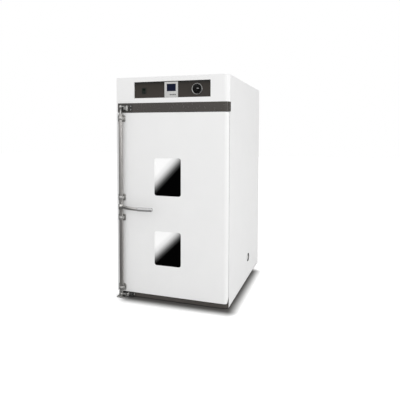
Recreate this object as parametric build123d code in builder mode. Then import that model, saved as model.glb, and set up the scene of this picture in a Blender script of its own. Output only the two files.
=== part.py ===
from build123d import *
import math
import os

# Forced-air drying oven: floor-standing cabinet, one insulated door with two
# windows, a full-height lock bar, and a blower with heaters above the chamber.
# Millimetres. +Z up, -Y is the front, origin on the floor under the middle of
# the cabinet.

os.makedirs("parts", exist_ok=True)

# Cabinet
width = 1000.0
depth = 1200.0
height = 1880.0
sheet = 2.0
corner_radius = 40.0
floor_gap = 8.0
fit_gap = 0.3
running_gap = 0.06

# Front, from the floor up; the door's height is what these leave of the cabinet
plinth_height = 30.0
door_gap_below = 4.0
door_gap_above = 5.0
band_height = 77.0
band_inset = 14.0
wrap_depth = 57.0
head_joint = 0.5

# Door, front to back
door_pan_depth = 26.0
door_seam = 3.0
seal_gap = 14.0
plug_depth = 54.0
plug_clearance = 6.0

# Walls round the heating chamber, which is what they leave of the cabinet
side_wall = 100.0
back_wall = 130.0
roof_wall = 118.0
chamber_floor = 112.0
door_overlap = 51.0

# Control panel, sizes read on the recess in the head
panel_width = 680.0
panel_height = 135.0
panel_x = 8.0
panel_margin = 40.0
panel_recess = 10.0

# Windows in the door
window_width = 238.0
upper_window_height = 317.0
lower_window_height = 290.0
window_x = -26.0
upper_window_rise = 235.5
lower_window_drop = 367.5
window_radius = 20.0
window_rim = 6.0
pane_thickness = 6.0
pane_recess = 2.0

# Lock bar
bar_radius = 17.0
bar_inset = 54.0
bar_standoff = 26.0
bar_gap_below = 20.0
bar_gap_above = 17.0
spindle_radius = 8.0
handle_drop = 29.5

# Places worked out from the sizes above
left = -width / 2
right = width / 2
front = -depth / 2
back = depth / 2
plinth_top = floor_gap + plinth_height
panel_top = height - panel_margin
panel_bottom = panel_top - panel_height
band_top = panel_bottom - panel_margin
band_bottom = band_top - band_height
door_bottom = plinth_top + door_gap_below
door_top = band_bottom - door_gap_above
door_middle = (door_bottom + door_top) / 2
pan_back = front + door_pan_depth
side_front = pan_back + door_seam
wrap_back = front + wrap_depth
frame_face = pan_back + seal_gap
inside = right - sheet - fit_gap
chamber_x = width / 2 - side_wall
chamber_width = 2 * chamber_x
chamber_front = frame_face + sheet
chamber_back = back - back_wall
chamber_top = door_top - door_overlap
chamber_height = chamber_top - chamber_floor
insulation_top = chamber_top + roof_wall
panel_face = front + panel_recess
plug_back = pan_back + plug_depth
upper_window_z = door_middle + upper_window_rise
lower_window_z = door_middle - lower_window_drop
bar_x = left + bar_inset
bar_y = front - bar_standoff
bar_bottom = door_bottom + bar_gap_below
bar_top = door_top - bar_gap_above
handle_z = door_middle - handle_drop


def block(x_span, y_span, z_span, mode=Mode.ADD):
    """A box between two limits along each axis."""
    spans = (x_span, y_span, z_span)
    middle = tuple((low + high) / 2 for low, high in spans)
    lengths = [high - low for low, high in spans]
    with Locations(middle):
        Box(*lengths, mode=mode)


def rod_x(y, z, x_span, radius, mode=Mode.ADD):
    """A round bar along X."""
    low, high = x_span
    with Locations(((low + high) / 2, y, z)):
        Cylinder(radius, high - low, rotation=(0, 90, 0), mode=mode)


def rod_y(x, z, y_span, radius, mode=Mode.ADD):
    """A round bar along Y."""
    low, high = y_span
    with Locations((x, (low + high) / 2, z)):
        Cylinder(radius, high - low, rotation=(90, 0, 0), mode=mode)


def rod_z(x, y, z_span, radius, mode=Mode.ADD):
    """A round bar along Z."""
    low, high = z_span
    with Locations((x, y, (low + high) / 2)):
        Cylinder(radius, high - low, mode=mode)


def wrapped_slab(x_span, y_span, z_span, radius, mode=Mode.ADD):
    """An upright slab whose right front corner is rounded in plan."""
    low_x, high_x = x_span
    low_y, high_y = y_span
    low_z, high_z = z_span
    reach = low_y + 2 * max(radius, high_y - low_y)
    with BuildSketch(Plane.XY.offset(low_z)) as plan:
        with Locations(((low_x + high_x) / 2, (low_y + reach) / 2)):
            Rectangle(high_x - low_x, reach - low_y)
        fillet(plan.vertices().group_by(Axis.X)[-1].sort_by(Axis.Y)[0], radius)
        with Locations(((low_x + high_x) / 2, (low_y + high_y) / 2)):
            Rectangle(high_x - low_x, high_y - low_y, mode=Mode.INTERSECT)
    extrude(plan.sketch, amount=high_z - low_z, mode=mode)


def rounded_window(x, z, y_span, size_x, size_z, radius, mode=Mode.ADD):
    """A rounded rectangle seen from the front, running along Y."""
    low, high = y_span
    with BuildSketch(Plane(origin=(x, high, z), x_dir=(1, 0, 0), z_dir=(0, -1, 0))) as outline:
        RectangleRounded(size_x, size_z, radius)
    extrude(outline.sketch, amount=high - low, mode=mode)


def save(piece, name):
    """Name a finished piece and write its file."""
    piece.part.label = name
    export_step(piece.part, f"parts/{name}.step")


# Ducts at both sides of the chamber and the plenum over its ceiling
duct_width = 58.0
duct_front_gap = 8.0
duct_back_gap = 15.0
plenum_height = 132.0
duct_x = chamber_x - duct_width - sheet
duct_front = plug_back + duct_front_gap
duct_back = chamber_back - duct_back_gap
deck_top = chamber_top - plenum_height
deck_bottom = deck_top - sheet

# Where pipes, rods and spindles cross the walls
shaft_x = 0.0
shaft_y = -20.0
shaft_radius = 8.0
probe_x = 190.0
probe_y = duct_front + 112.0
probe_radius = 3.0
heater_radius = 5.0
heater_outer_gap = 50.0
heater_row_pitch = 60.0
heater_rows = [
    side_x * (duct_x - heater_outer_gap - row * heater_row_pitch)
    for side_x in (-1, 1)
    for row in (0, 1)
]
heater_start_y = duct_front + 182.0
heater_end_y = duct_back - 185.0
heater_leg_gap = 60.0
exhaust_x = -250.0
exhaust_z = chamber_top - plenum_height / 2
exhaust_radius = 41.5
spigot_radius = 40.0
spigot_length = 56.0
exhaust_wall = 2.0
exhaust_length_out = 90.0
port_y = 112.0
port_z = chamber_floor + 94.0
port_radius = 38.0
port_wall = 2.0
port_flange_radius = 48.0
port_flange = 3.0
gland_x = 330.0
gland_z = band_top + 55.0
gland_radius = 11.0
hole_gap = 1.0


def wall_holes(z_span, mode=Mode.SUBTRACT):
    """The upright holes for the fan shaft, the probe and the heater legs."""
    rod_z(shaft_x, shaft_y, z_span, shaft_radius + 4 * hole_gap, mode)
    rod_z(probe_x, probe_y, z_span, probe_radius + hole_gap / 2, mode)
    for row_x in heater_rows:
        for leg_y in (heater_start_y, heater_start_y + heater_leg_gap):
            rod_z(row_x, leg_y, z_span, heater_radius + hole_gap / 2, mode)


# Side panels: folded sheet, with the door's seam along the front edge
side_tab_width = 12.0

with BuildPart() as right_side_panel:
    block((right - sheet, right), (side_front, back), (floor_gap, band_bottom - head_joint))
    block((right - sheet, right), (wrap_back + head_joint, back), (floor_gap, height))
    rod_x(port_y, port_z, (right - 2 * sheet, right + sheet), port_radius + port_wall + fit_gap, Mode.SUBTRACT)
save(right_side_panel, "right_side_panel")

with BuildPart() as left_side_panel:
    block((left, left + sheet), (side_front, back), (floor_gap, band_bottom - head_joint))
    block((left, left + sheet), (wrap_back + head_joint, back), (floor_gap, height))
    block((left, left + sheet), (front, back), (band_bottom, band_top - head_joint))
    block((left, left + side_tab_width), (front, front + sheet), (band_bottom, band_top - head_joint))
save(left_side_panel, "left_side_panel")

# Top panel: shallow pan let in between the sides and the head
top_flange = 20.0
top_front = front + sheet + fit_gap
inner_corner = corner_radius - sheet - fit_gap

with BuildPart() as top_panel:
    wrapped_slab((-inside, inside), (top_front, back - sheet - fit_gap), (height - top_flange, height), inner_corner)
    wrapped_slab(
        (-inside + sheet, inside - sheet),
        (top_front + sheet, back - 2 * sheet - fit_gap),
        (height - top_flange, height - sheet),
        inner_corner - sheet,
        Mode.SUBTRACT,
    )
save(top_panel, "top_panel")

# Back panel with cooling slots behind the head
slot_length = 60.0
slot_height = 6.0
slot_pitch_x = 80.0
slot_pitch_z = 16.0
slot_columns = 6
slot_rows = 4
slot_z = band_top + 115.0

with BuildPart() as back_panel:
    block((-inside, inside), (back - sheet, back), (floor_gap, height - fit_gap - top_flange))
    rod_y(exhaust_x, exhaust_z, (back - 2 * sheet, back + sheet), exhaust_radius + fit_gap, Mode.SUBTRACT)
    rod_y(gland_x, gland_z, (back - 2 * sheet, back + sheet), gland_radius + fit_gap, Mode.SUBTRACT)
    with BuildSketch(Plane(origin=(0, back, slot_z), x_dir=(1, 0, 0), z_dir=(0, -1, 0))):
        with GridLocations(slot_pitch_x, slot_pitch_z, slot_columns, slot_rows):
            SlotOverall(slot_length, slot_height)
    extrude(amount=sheet, mode=Mode.SUBTRACT)
save(back_panel, "back_panel")

# Base pan: folded tray that carries the cabinet on its four feet
base_front = frame_face + sheet + fit_gap
base_back = back - sheet - fit_gap
foot_inset = 70.0
foot_stem_radius = 8.0
foot_pad_radius = 28.0
foot_pad_height = 14.0
foot_nut_radius = 14.0
foot_nut_height = 8.0
foot_places = [
    (side_x * (inside - foot_inset), end_y)
    for side_x in (-1, 1)
    for end_y in (base_front + foot_inset, base_back - foot_inset)
]

with BuildPart() as base_pan:
    block((-inside, inside), (base_front, base_back), (floor_gap + sheet, plinth_top))
    block(
        (-inside + sheet, inside - sheet),
        (base_front + sheet, base_back - sheet),
        (floor_gap + sheet, plinth_top - sheet),
        Mode.SUBTRACT,
    )
    for foot_x, foot_y in foot_places:
        rod_z(foot_x, foot_y, (floor_gap, plinth_top), foot_stem_radius + fit_gap, Mode.SUBTRACT)
save(base_pan, "base_pan")

# Levelling feet: pad, stem and the nut under the base pan
foot_stem_top = plinth_top + 30.0

with BuildPart() as leveling_feet:
    for foot_x, foot_y in foot_places:
        rod_z(foot_x, foot_y, (0, foot_pad_height), foot_pad_radius)
        rod_z(foot_x, foot_y, (foot_pad_height, foot_stem_top), foot_stem_radius)
        rod_z(foot_x, foot_y, (plinth_top - sheet - foot_nut_height, plinth_top - sheet), foot_nut_radius)
save(leveling_feet, "leveling_feet")

# Plinth: dark kick strip that follows the rounded corner
bracket_left = right - 60.0
bracket_gap = 1.0

with BuildPart() as plinth:
    plinth_x = (left + band_inset, right)
    plinth_y = (front, side_front - fit_gap)
    wrapped_slab(plinth_x, plinth_y, (floor_gap, plinth_top), corner_radius)
    wrapped_slab(
        (left + band_inset + sheet, right - sheet),
        (front + sheet, frame_face),
        (floor_gap, plinth_top - sheet),
        corner_radius - sheet,
        Mode.SUBTRACT,
    )
    block((left + band_inset, bracket_left), plinth_y, (plinth_top - sheet, plinth_top))
    wrapped_slab(
        (bracket_left - bracket_gap, right - sheet),
        (front + sheet, frame_face),
        (plinth_top - sheet, plinth_top),
        corner_radius - sheet,
        Mode.SUBTRACT,
    )
    block((left + band_inset, bracket_left - bracket_gap), (side_front - sheet, frame_face),
          (plinth_top - sheet, plinth_top))
save(plinth, "plinth")

# Upper band: dark strip under the head, same section turned over
with BuildPart() as upper_band:
    wrapped_slab((left + band_inset, right), (front, wrap_back), (band_bottom, band_top - head_joint), corner_radius)
    wrapped_slab(
        (left + band_inset + sheet, right - sheet),
        (front + sheet, wrap_back),
        (band_bottom + sheet, band_top),
        corner_radius - sheet,
        Mode.SUBTRACT,
    )
    wrapped_slab(
        (bracket_left - bracket_gap, right - sheet),
        (front + sheet, wrap_back),
        (band_bottom, band_bottom + sheet),
        corner_radius - sheet,
        Mode.SUBTRACT,
    )
    block((left, right - sheet - fit_gap), (frame_face - fit_gap, wrap_back), (band_bottom, band_top), Mode.SUBTRACT)
save(upper_band, "upper_band")

# Head fascia: white front of the control head with its recess opening
with BuildPart() as control_head_fascia:
    wrapped_slab((left, right), (front, wrap_back), (band_top, height), corner_radius)
    wrapped_slab(
        (left + sheet, right - sheet),
        (front + sheet, wrap_back),
        (band_top, height),
        corner_radius - sheet,
        Mode.SUBTRACT,
    )
    panel_span_x = (panel_x - panel_width / 2, panel_x + panel_width / 2)
    block(panel_span_x, (front - sheet, front + 2 * sheet), (panel_bottom, panel_top), Mode.SUBTRACT)
    lip_outer_x = (panel_span_x[0] - sheet, panel_span_x[1] + sheet)
    block(lip_outer_x, (front + sheet, panel_face), (panel_bottom - sheet, panel_top + sheet))
    block(panel_span_x, (front, panel_face), (panel_bottom, panel_top), Mode.SUBTRACT)
save(control_head_fascia, "control_head_fascia")

# Front frame: the face that the door's seal closes on
frame_bottom = floor_gap + sheet
frame_top = band_top - head_joint

with BuildPart() as front_frame:
    block((-inside, inside), (frame_face, frame_face + sheet), (frame_bottom, frame_top))
    block(
        (-chamber_x, chamber_x),
        (frame_face - sheet, frame_face + 2 * sheet),
        (chamber_floor, chamber_top),
        Mode.SUBTRACT,
    )
save(front_frame, "front_frame")

# Chamber liner: stainless box, open at the front
with BuildPart() as chamber_liner:
    block(
        (-chamber_x - sheet, chamber_x + sheet),
        (chamber_front, chamber_back + sheet),
        (chamber_floor - sheet, chamber_top + sheet),
    )
    block(
        (-chamber_x, chamber_x),
        (chamber_front - sheet, chamber_back),
        (chamber_floor, chamber_top),
        Mode.SUBTRACT,
    )
    wall_holes((chamber_top - sheet, chamber_top + 2 * sheet))
    rod_y(exhaust_x, exhaust_z, (chamber_back - sheet, chamber_back + 2 * sheet), exhaust_radius + fit_gap,
          Mode.SUBTRACT)
    rod_x(port_y, port_z, (chamber_x - sheet, chamber_x + 2 * sheet), port_radius + port_wall + fit_gap,
          Mode.SUBTRACT)
save(chamber_liner, "chamber_liner")

# Mineral wool jacket between the liner and the outer sheets
with BuildPart() as cabinet_insulation:
    block((-inside, inside), (base_front, base_back), (plinth_top + fit_gap, insulation_top))
    block(
        (-chamber_x - sheet - fit_gap, chamber_x + sheet + fit_gap),
        (base_front - sheet, chamber_back + sheet + fit_gap),
        (chamber_floor - sheet - fit_gap, chamber_top + sheet + fit_gap),
        Mode.SUBTRACT,
    )
    wall_holes((chamber_top, insulation_top + sheet))
    rod_y(exhaust_x, exhaust_z, (chamber_back, back), exhaust_radius + fit_gap, Mode.SUBTRACT)
    rod_x(port_y, port_z, (chamber_x, right), port_radius + port_wall + fit_gap, Mode.SUBTRACT)
    rod_x(port_y, port_z, (inside - port_flange - fit_gap, right), port_flange_radius + fit_gap, Mode.SUBTRACT)
    for foot_x, foot_y in foot_places:
        rod_z(foot_x, foot_y, (plinth_top, foot_stem_top + fit_gap), foot_stem_radius + fit_gap, Mode.SUBTRACT)
save(cabinet_insulation, "cabinet_insulation")

# Pivot hinges in the rounded right corner of the door
hinge_x = right - 22.0
hinge_y = front + 15.0
pin_radius = 5.0
pin_reach = 24.0
collar_radius = 9.0
bracket_plate = 8.0
bracket_leg = 5.0
bracket_leg_height = 50.0
bracket_inset = 1.0

bracket_front = front + sheet + bracket_inset
bracket_corner = corner_radius - sheet - bracket_inset
bracket_right = right - sheet - bracket_inset

with BuildPart() as upper_hinge_bracket:
    wrapped_slab(
        (bracket_left, bracket_right),
        (bracket_front, frame_face - fit_gap),
        (band_bottom, band_bottom + bracket_plate),
        bracket_corner,
    )
    block(
        (bracket_left, bracket_right - sheet),
        (frame_face - fit_gap - bracket_leg, frame_face - fit_gap),
        (band_bottom, band_bottom + bracket_leg_height),
    )
    rod_z(hinge_x, hinge_y, (door_top - pin_reach, band_bottom), pin_radius)
    rod_z(hinge_x, hinge_y, (door_top + fit_gap, band_bottom), collar_radius)
save(upper_hinge_bracket, "upper_hinge_bracket")

with BuildPart() as lower_hinge_bracket:
    wrapped_slab(
        (bracket_left, bracket_right),
        (bracket_front, frame_face - fit_gap),
        (plinth_top - bracket_plate, plinth_top),
        bracket_corner,
    )
    block(
        (bracket_left, bracket_right - sheet),
        (frame_face - fit_gap - bracket_leg, frame_face - fit_gap),
        (floor_gap + sheet, plinth_top),
    )
    rod_z(hinge_x, hinge_y, (plinth_top, door_bottom + pin_reach), pin_radius)
    rod_z(hinge_x, hinge_y, (plinth_top, door_bottom - fit_gap), collar_radius)
save(lower_hinge_bracket, "lower_hinge_bracket")

# Air ducts: perforated channels on both sides of the chamber
air_slot_length = 60.0
air_slot_width = 10.0
air_slot_pitch_y = 90.0
air_slot_pitch_z = 95.0
air_slot_end_gap = 60.0
air_slot_top_gap = 100.0
air_slot_columns = int((duct_back - duct_front - 2 * air_slot_end_gap) // air_slot_pitch_y) + 1
air_slot_rows = int((deck_bottom - chamber_floor - 2 * air_slot_top_gap) // air_slot_pitch_z) + 1


def air_duct(side):
    """One perforated duct; side is -1 on the left and 1 on the right."""
    span_z = (chamber_floor + fit_gap, deck_bottom)
    block(sorted((side * duct_x, side * (duct_x + sheet))), (duct_front, duct_back), span_z)
    flange_x = sorted((side * duct_x, side * (chamber_x - fit_gap)))
    block(flange_x, (duct_front, duct_front + sheet), span_z)
    block(flange_x, (duct_back - sheet, duct_back), span_z)
    middle = (side * duct_x - sheet, (duct_front + duct_back) / 2, (span_z[0] + span_z[1]) / 2)
    with BuildSketch(Plane(origin=middle, x_dir=(0, 1, 0), z_dir=(1, 0, 0))) as slots:
        with GridLocations(air_slot_pitch_y, air_slot_pitch_z, air_slot_columns, air_slot_rows):
            SlotOverall(air_slot_length, air_slot_width)
    extrude(slots.sketch, amount=2 * sheet, mode=Mode.SUBTRACT)


with BuildPart() as air_ducts:
    air_duct(-1)
    air_duct(1)
    rod_x(port_y, port_z, (duct_x - sheet, duct_x + 2 * sheet), port_radius + port_wall + fit_gap, Mode.SUBTRACT)
save(air_ducts, "air_ducts")

# Fan deck: ceiling of the usable chamber, with the blower's inlet ring
inlet_radius = 95.0
inlet_lip = 18.0

with BuildPart() as fan_deck:
    block((-duct_x - sheet, duct_x + sheet), (duct_front, duct_back), (deck_bottom, deck_top))
    baffle_x = (-chamber_x + fit_gap, chamber_x - fit_gap)
    baffle_z = (deck_bottom, chamber_top - fit_gap)
    block(baffle_x, (duct_front, duct_front + sheet), baffle_z)
    block(baffle_x, (duct_back - sheet, duct_back), baffle_z)
    rod_z(shaft_x, shaft_y, (deck_bottom, deck_top + inlet_lip), inlet_radius + sheet)
    rod_z(shaft_x, shaft_y, (deck_bottom - sheet, deck_top + inlet_lip + sheet), inlet_radius, Mode.SUBTRACT)
    rod_z(probe_x, probe_y, (deck_bottom - sheet, deck_top + sheet), probe_radius + fit_gap, Mode.SUBTRACT)
    rod_y(exhaust_x, exhaust_z, (duct_back - 2 * sheet, duct_back + sheet), exhaust_radius + fit_gap, Mode.SUBTRACT)
save(fan_deck, "fan_deck")

# Centrifugal fan wheel: inlet ring, blades, back disc and hub
wheel_radius = 120.0
wheel_gap = 6.0
wheel_height = 60.0
wheel_hub_radius = 20.0
wheel_hub_height = 26.0
blade_count = 24
blade_thickness = 2.0
blade_chord = 30.0
blade_angle = 35.0
wheel_bottom = deck_top + inlet_lip + wheel_gap
wheel_top = wheel_bottom + wheel_height

with BuildPart() as impeller:
    rod_z(shaft_x, shaft_y, (wheel_top - sheet, wheel_top), wheel_radius)
    rod_z(shaft_x, shaft_y, (wheel_bottom, wheel_bottom + sheet), wheel_radius)
    rod_z(shaft_x, shaft_y, (wheel_bottom - sheet, wheel_bottom + 2 * sheet), inlet_radius, Mode.SUBTRACT)
    with BuildSketch(Plane.XY.offset(wheel_bottom)):
        with Locations((shaft_x, shaft_y)):
            with PolarLocations((wheel_radius + inlet_radius) / 2, blade_count):
                Rectangle(blade_chord, blade_thickness, rotation=blade_angle)
    extrude(amount=wheel_height)
    rod_z(shaft_x, shaft_y, (wheel_top - wheel_hub_height, wheel_top), wheel_hub_radius)
    rod_z(shaft_x, shaft_y, (wheel_bottom - sheet, wheel_top + sheet), shaft_radius + running_gap, Mode.SUBTRACT)
save(impeller, "impeller")

# Blower motor on its mount across the head
mount_thickness = 3.0
mount_flange = 20.0
mount_half_depth = 140.0
mount_bottom = insulation_top + fit_gap
mount_top = mount_bottom + mount_thickness
motor_radius = 62.0
motor_height = 124.0
motor_base = 136.0
motor_base_height = 8.0
fin_count = 16
fin_reach = 7.0
fin_thickness = 3.0
fin_height = 84.0
terminal_box = (46.0, 26.0, 60.0)
shaft_reach = 40.0
shaft_bottom = wheel_top - wheel_hub_height - 4.0
shaft_top = mount_top + shaft_reach

with BuildPart() as motor_mount:
    mount_y = (shaft_y - mount_half_depth, shaft_y + mount_half_depth)
    block((-inside, inside), mount_y, (mount_bottom, mount_top))
    for edge_y in (mount_y[0], mount_y[1] - mount_thickness):
        block((-inside, inside), (edge_y, edge_y + mount_thickness), (mount_bottom, mount_top + mount_flange))
    rod_z(shaft_x, shaft_y, (mount_bottom - sheet, mount_top + sheet), shaft_radius + 2 * hole_gap, Mode.SUBTRACT)
save(motor_mount, "motor_mount")

with BuildPart() as blower_motor:
    with Locations((shaft_x, shaft_y, mount_top + motor_base_height / 2)):
        Box(motor_base, motor_base, motor_base_height)
    rod_z(shaft_x, shaft_y, (mount_top, mount_top + motor_height), motor_radius)
    fillet(blower_motor.edges().sort_by(Axis.Z)[-1], motor_radius / 8)
    fin_bottom = mount_top + motor_base_height
    with BuildSketch(Plane.XY.offset(fin_bottom)):
        with Locations((shaft_x, shaft_y)):
            with PolarLocations(motor_radius, fin_count):
                Rectangle(2 * fin_reach, fin_thickness)
    extrude(amount=fin_height)
    box_x, box_y, box_z = terminal_box
    with Locations((shaft_x, shaft_y + motor_radius + fin_reach, mount_top + motor_height / 2)):
        Box(box_x, box_y, box_z)
    rod_z(shaft_x, shaft_y, (mount_bottom, shaft_top + fit_gap), shaft_radius + running_gap, Mode.SUBTRACT)
save(blower_motor, "blower_motor")

with BuildPart() as fan_shaft:
    rod_z(shaft_x, shaft_y, (shaft_bottom, shaft_top), shaft_radius)
save(fan_shaft, "fan_shaft")

# Tubular heaters in the plenum, both legs rising through the ceiling
heater_low = deck_top + 26.0
heater_high = heater_low + 60.0
heater_bend = 20.0
heater_terminal = insulation_top + 24.0
heater_plate = 3.0
heater_plate_margin = 16.0


def heater_element(row_x):
    """A hairpin tube in one upright plane with its fixing plate."""
    return_y = heater_start_y + heater_leg_gap
    route = [
        (row_x, heater_start_y, heater_terminal),
        (row_x, heater_start_y, heater_low),
        (row_x, heater_end_y, heater_low),
        (row_x, heater_end_y, heater_high),
        (row_x, return_y, heater_high),
        (row_x, return_y, heater_terminal),
    ]
    with BuildLine() as path:
        FilletPolyline(*route, radius=heater_bend)
    with BuildSketch(Plane(origin=route[0], z_dir=(0, 0, -1))) as section:
        Circle(heater_radius)
    sweep(section.sketch, path=path.wires()[0])
    block(
        (row_x - heater_plate_margin, row_x + heater_plate_margin),
        (heater_start_y - heater_plate_margin, return_y + heater_plate_margin),
        (insulation_top + fit_gap, insulation_top + fit_gap + heater_plate),
    )


with BuildPart() as heater_elements:
    for row in heater_rows:
        heater_element(row)
save(heater_elements, "heater_elements")

# Temperature probe hanging through the ceiling into the chamber
probe_bottom = deck_bottom - 90.0
probe_head_radius = 9.0
probe_head_height = 36.0

with BuildPart() as temperature_probe:
    rod_z(probe_x, probe_y, (probe_bottom, insulation_top + fit_gap + probe_head_height), probe_radius)
    rod_z(probe_x, probe_y, (insulation_top + fit_gap, insulation_top + fit_gap + probe_head_height),
          probe_head_radius)
save(temperature_probe, "temperature_probe")

# Shelf racks: two posts and five ledges on each side
post_size = 10.0
post_front = duct_front + 72.0
post_back = duct_back - 55.0
post_top = deck_bottom - 20.0
ledge_levels = 5
ledge_first = chamber_floor + 150.0
ledge_last = post_top - 196.0
ledge_pitch = (ledge_last - ledge_first) / (ledge_levels - 1)
ledge_width = 16.0
ledge_overhang = 15.0
ledge_fall = 18.0
rack_outer = duct_x - fit_gap
rack_inner = rack_outer - post_size

with BuildPart() as shelf_racks:
    for side in (-1, 1):
        for post_y in (post_front, post_back):
            block(sorted((side * rack_inner, side * rack_outer)), (post_y - post_size / 2, post_y + post_size / 2),
                  (chamber_floor + fit_gap, post_top))
        for level in range(ledge_levels):
            ledge_z = ledge_first + level * ledge_pitch
            ledge_y = (post_front - ledge_overhang, post_back + ledge_overhang)
            block(sorted((side * (rack_inner - ledge_width), side * rack_inner)), ledge_y, (ledge_z - sheet, ledge_z))
            block(sorted((side * (rack_inner - sheet), side * rack_inner)), ledge_y, (ledge_z - ledge_fall, ledge_z))
save(shelf_racks, "shelf_racks")

# Wire shelves, each resting on one pair of ledges
shelf_frame_radius = 5.0
shelf_wire_radius = 2.5
shelf_rib_radius = 4.0
shelf_wires = 20
shelf_ribs = 3
shelf_side_gap = 5.0
shelf_front = post_front - 20.0
shelf_back = post_back + 20.0
shelf_half = rack_inner - sheet - shelf_side_gap


def wire_shelf(level):
    """A wire shelf on the given pair of ledges."""
    z = ledge_first + level * ledge_pitch + fit_gap + shelf_frame_radius
    for edge_x in (-shelf_half, shelf_half):
        rod_y(edge_x, z, (shelf_front, shelf_back), shelf_frame_radius)
    for edge_y in (shelf_front, shelf_back):
        rod_x(edge_y, z, (-shelf_half, shelf_half), shelf_frame_radius)
        for edge_x in (-shelf_half, shelf_half):
            with Locations((edge_x, edge_y, z)):
                Sphere(shelf_frame_radius)
    wire_pitch = 2 * shelf_half / (shelf_wires + 1)
    for wire in range(1, shelf_wires + 1):
        rod_y(-shelf_half + wire * wire_pitch, z, (shelf_front, shelf_back), shelf_wire_radius)
    rib_pitch = (shelf_back - shelf_front) / (shelf_ribs + 1)
    for rib in range(1, shelf_ribs + 1):
        rod_x(shelf_front + rib * rib_pitch, z, (-shelf_half, shelf_half), shelf_rib_radius)


with BuildPart() as lower_shelf:
    wire_shelf(1)
save(lower_shelf, "lower_shelf")

with BuildPart() as upper_shelf:
    wire_shelf(3)
save(upper_shelf, "upper_shelf")

# Cable port through the right wall, with its silicone plug set back in it
port_proud = 1.0
plug_inset = 9.0
plug_length_in = 60.0
plug_knob_radius = 9.0
plug_knob = 8.0

with BuildPart() as port_tube:
    rod_x(port_y, port_z, (duct_x - sheet, right + port_proud), port_radius + port_wall)
    rod_x(port_y, port_z, (inside - port_flange, inside), port_flange_radius)
    rod_x(port_y, port_z, (duct_x - 2 * sheet, right + 2 * port_proud), port_radius, Mode.SUBTRACT)
save(port_tube, "port_tube")

with BuildPart() as port_plug:
    plug_face = right + port_proud - plug_inset
    rod_x(port_y, port_z, (plug_face - plug_length_in, plug_face), port_radius - fit_gap)
    fillet(port_plug.edges().filter_by(GeomType.CIRCLE), sheet)
    rod_x(port_y, port_z, (plug_face - sheet, plug_face + plug_knob), plug_knob_radius)
    fillet(port_plug.edges().sort_by(Axis.X)[-1], plug_knob / 4)
save(port_plug, "port_plug")

# Exhaust pipe out of the back, with a butterfly damper and a reduced end for a hose
exhaust_flange_radius = 58.0
exhaust_flange = 3.0
damper_y = back + 26.0
damper_thickness = 2.0
damper_gap = 0.8
damper_pin_radius = 4.0
damper_pin_below = 8.0
damper_pin_above = 14.0
damper_lever = 30.0
damper_lever_width = 10.0
damper_lever_thickness = 4.0

exhaust_end = back + exhaust_length_out
exhaust_bore = spigot_radius - exhaust_wall

with BuildPart() as exhaust_pipe:
    rod_y(exhaust_x, exhaust_z, (duct_back - sheet, exhaust_end - spigot_length), exhaust_radius)
    rod_y(exhaust_x, exhaust_z, (exhaust_end - spigot_length, exhaust_end), spigot_radius)
    rod_y(exhaust_x, exhaust_z, (back, back + exhaust_flange), exhaust_flange_radius)
    rod_y(exhaust_x, exhaust_z, (duct_back - 2 * sheet, exhaust_end + sheet), exhaust_bore, Mode.SUBTRACT)
    rod_z(exhaust_x, damper_y, (exhaust_z - exhaust_radius - sheet, exhaust_z + exhaust_radius + sheet),
          damper_pin_radius + running_gap, Mode.SUBTRACT)
save(exhaust_pipe, "exhaust_pipe")

with BuildPart() as damper_flap:
    rod_y(exhaust_x, exhaust_z, (damper_y - damper_thickness / 2, damper_y + damper_thickness / 2),
          exhaust_bore - damper_gap)
    pin_top = exhaust_z + exhaust_radius + damper_pin_above
    rod_z(exhaust_x, damper_y, (exhaust_z - exhaust_radius - damper_pin_below, pin_top), damper_pin_radius)
    block(
        (exhaust_x - damper_lever_width / 2, exhaust_x + damper_lever),
        (damper_y - damper_lever_width / 2, damper_y + damper_lever_width / 2),
        (pin_top - damper_lever_thickness, pin_top),
    )
save(damper_flap, "damper_flap")

# Supply gland on the back, bored for a mains lead
gland_bore = 5.0
gland_nut_radius = 17.0
gland_nut = 6.0
gland_out = 24.0
gland_in = 12.0

with BuildPart() as supply_gland:
    rod_y(gland_x, gland_z, (back - sheet - gland_in, back + gland_out), gland_radius)
    with BuildSketch(Plane(origin=(gland_x, back + gland_nut, gland_z), x_dir=(1, 0, 0), z_dir=(0, -1, 0))):
        RegularPolygon(gland_nut_radius, 6)
    extrude(amount=gland_nut)
    rod_y(gland_x, gland_z, (back - sheet - 2 * gland_in, back + 2 * gland_out), gland_bore, Mode.SUBTRACT)
save(supply_gland, "supply_gland")

# Control panel plate and what it carries
panel_overlap = 8.0
controller_x = panel_x - 2.0
controller_z = panel_bottom + 65.0
controller_width = 119.0
controller_height = 127.0
controller_proud = 6.0
controller_body_depth = 80.0
controller_body_inset = 5.0
screen_width = 80.0
screen_height = 60.0
screen_x = controller_x + 1.0
screen_z = controller_z + 17.0
screen_thickness = 2.0
screen_inset = 1.0
key_names = ("key_set", "key_shift", "key_down", "key_up")
key_first_x = controller_x - 6.0
key_pitch = 14.0
key_z = controller_z - 42.0
key_width = 9.0
key_height = 7.0
key_proud = 2.0
key_depth = 7.0
key_travel = 1.2
rocker_x = panel_x - 252.0
rocker_z = panel_bottom + 60.0
rocker_bezel_width = 38.0
rocker_bezel_height = 52.0
rocker_bezel = 3.0
rocker_body_width = 34.0
rocker_body_height = 47.0
rocker_body_depth = 24.0
rocker_width = 27.4
rocker_half_length = 18.0
rocker_opening_width = 28.0
rocker_opening_height = 41.0
rocker_pivot_depth = 6.0
rocker_pin_radius = 2.0
rocker_pin_half = 16.5
rocker_tilt = 9.0
dial_x = panel_x + 222.0
dial_z = panel_bottom + 66.0
dial_ring_radius = 46.0
dial_ring_hole = 5.0
dial_ring_thickness = 3.0
knob_radius = 36.0
knob_skirt = 6.0
knob_grip_radius = 27.0
knob_height = 24.0
knob_bar_width = 10.0
knob_bar_height = 5.0
knob_shaft_radius = 3.0
knob_shaft_length = 30.0

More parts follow.
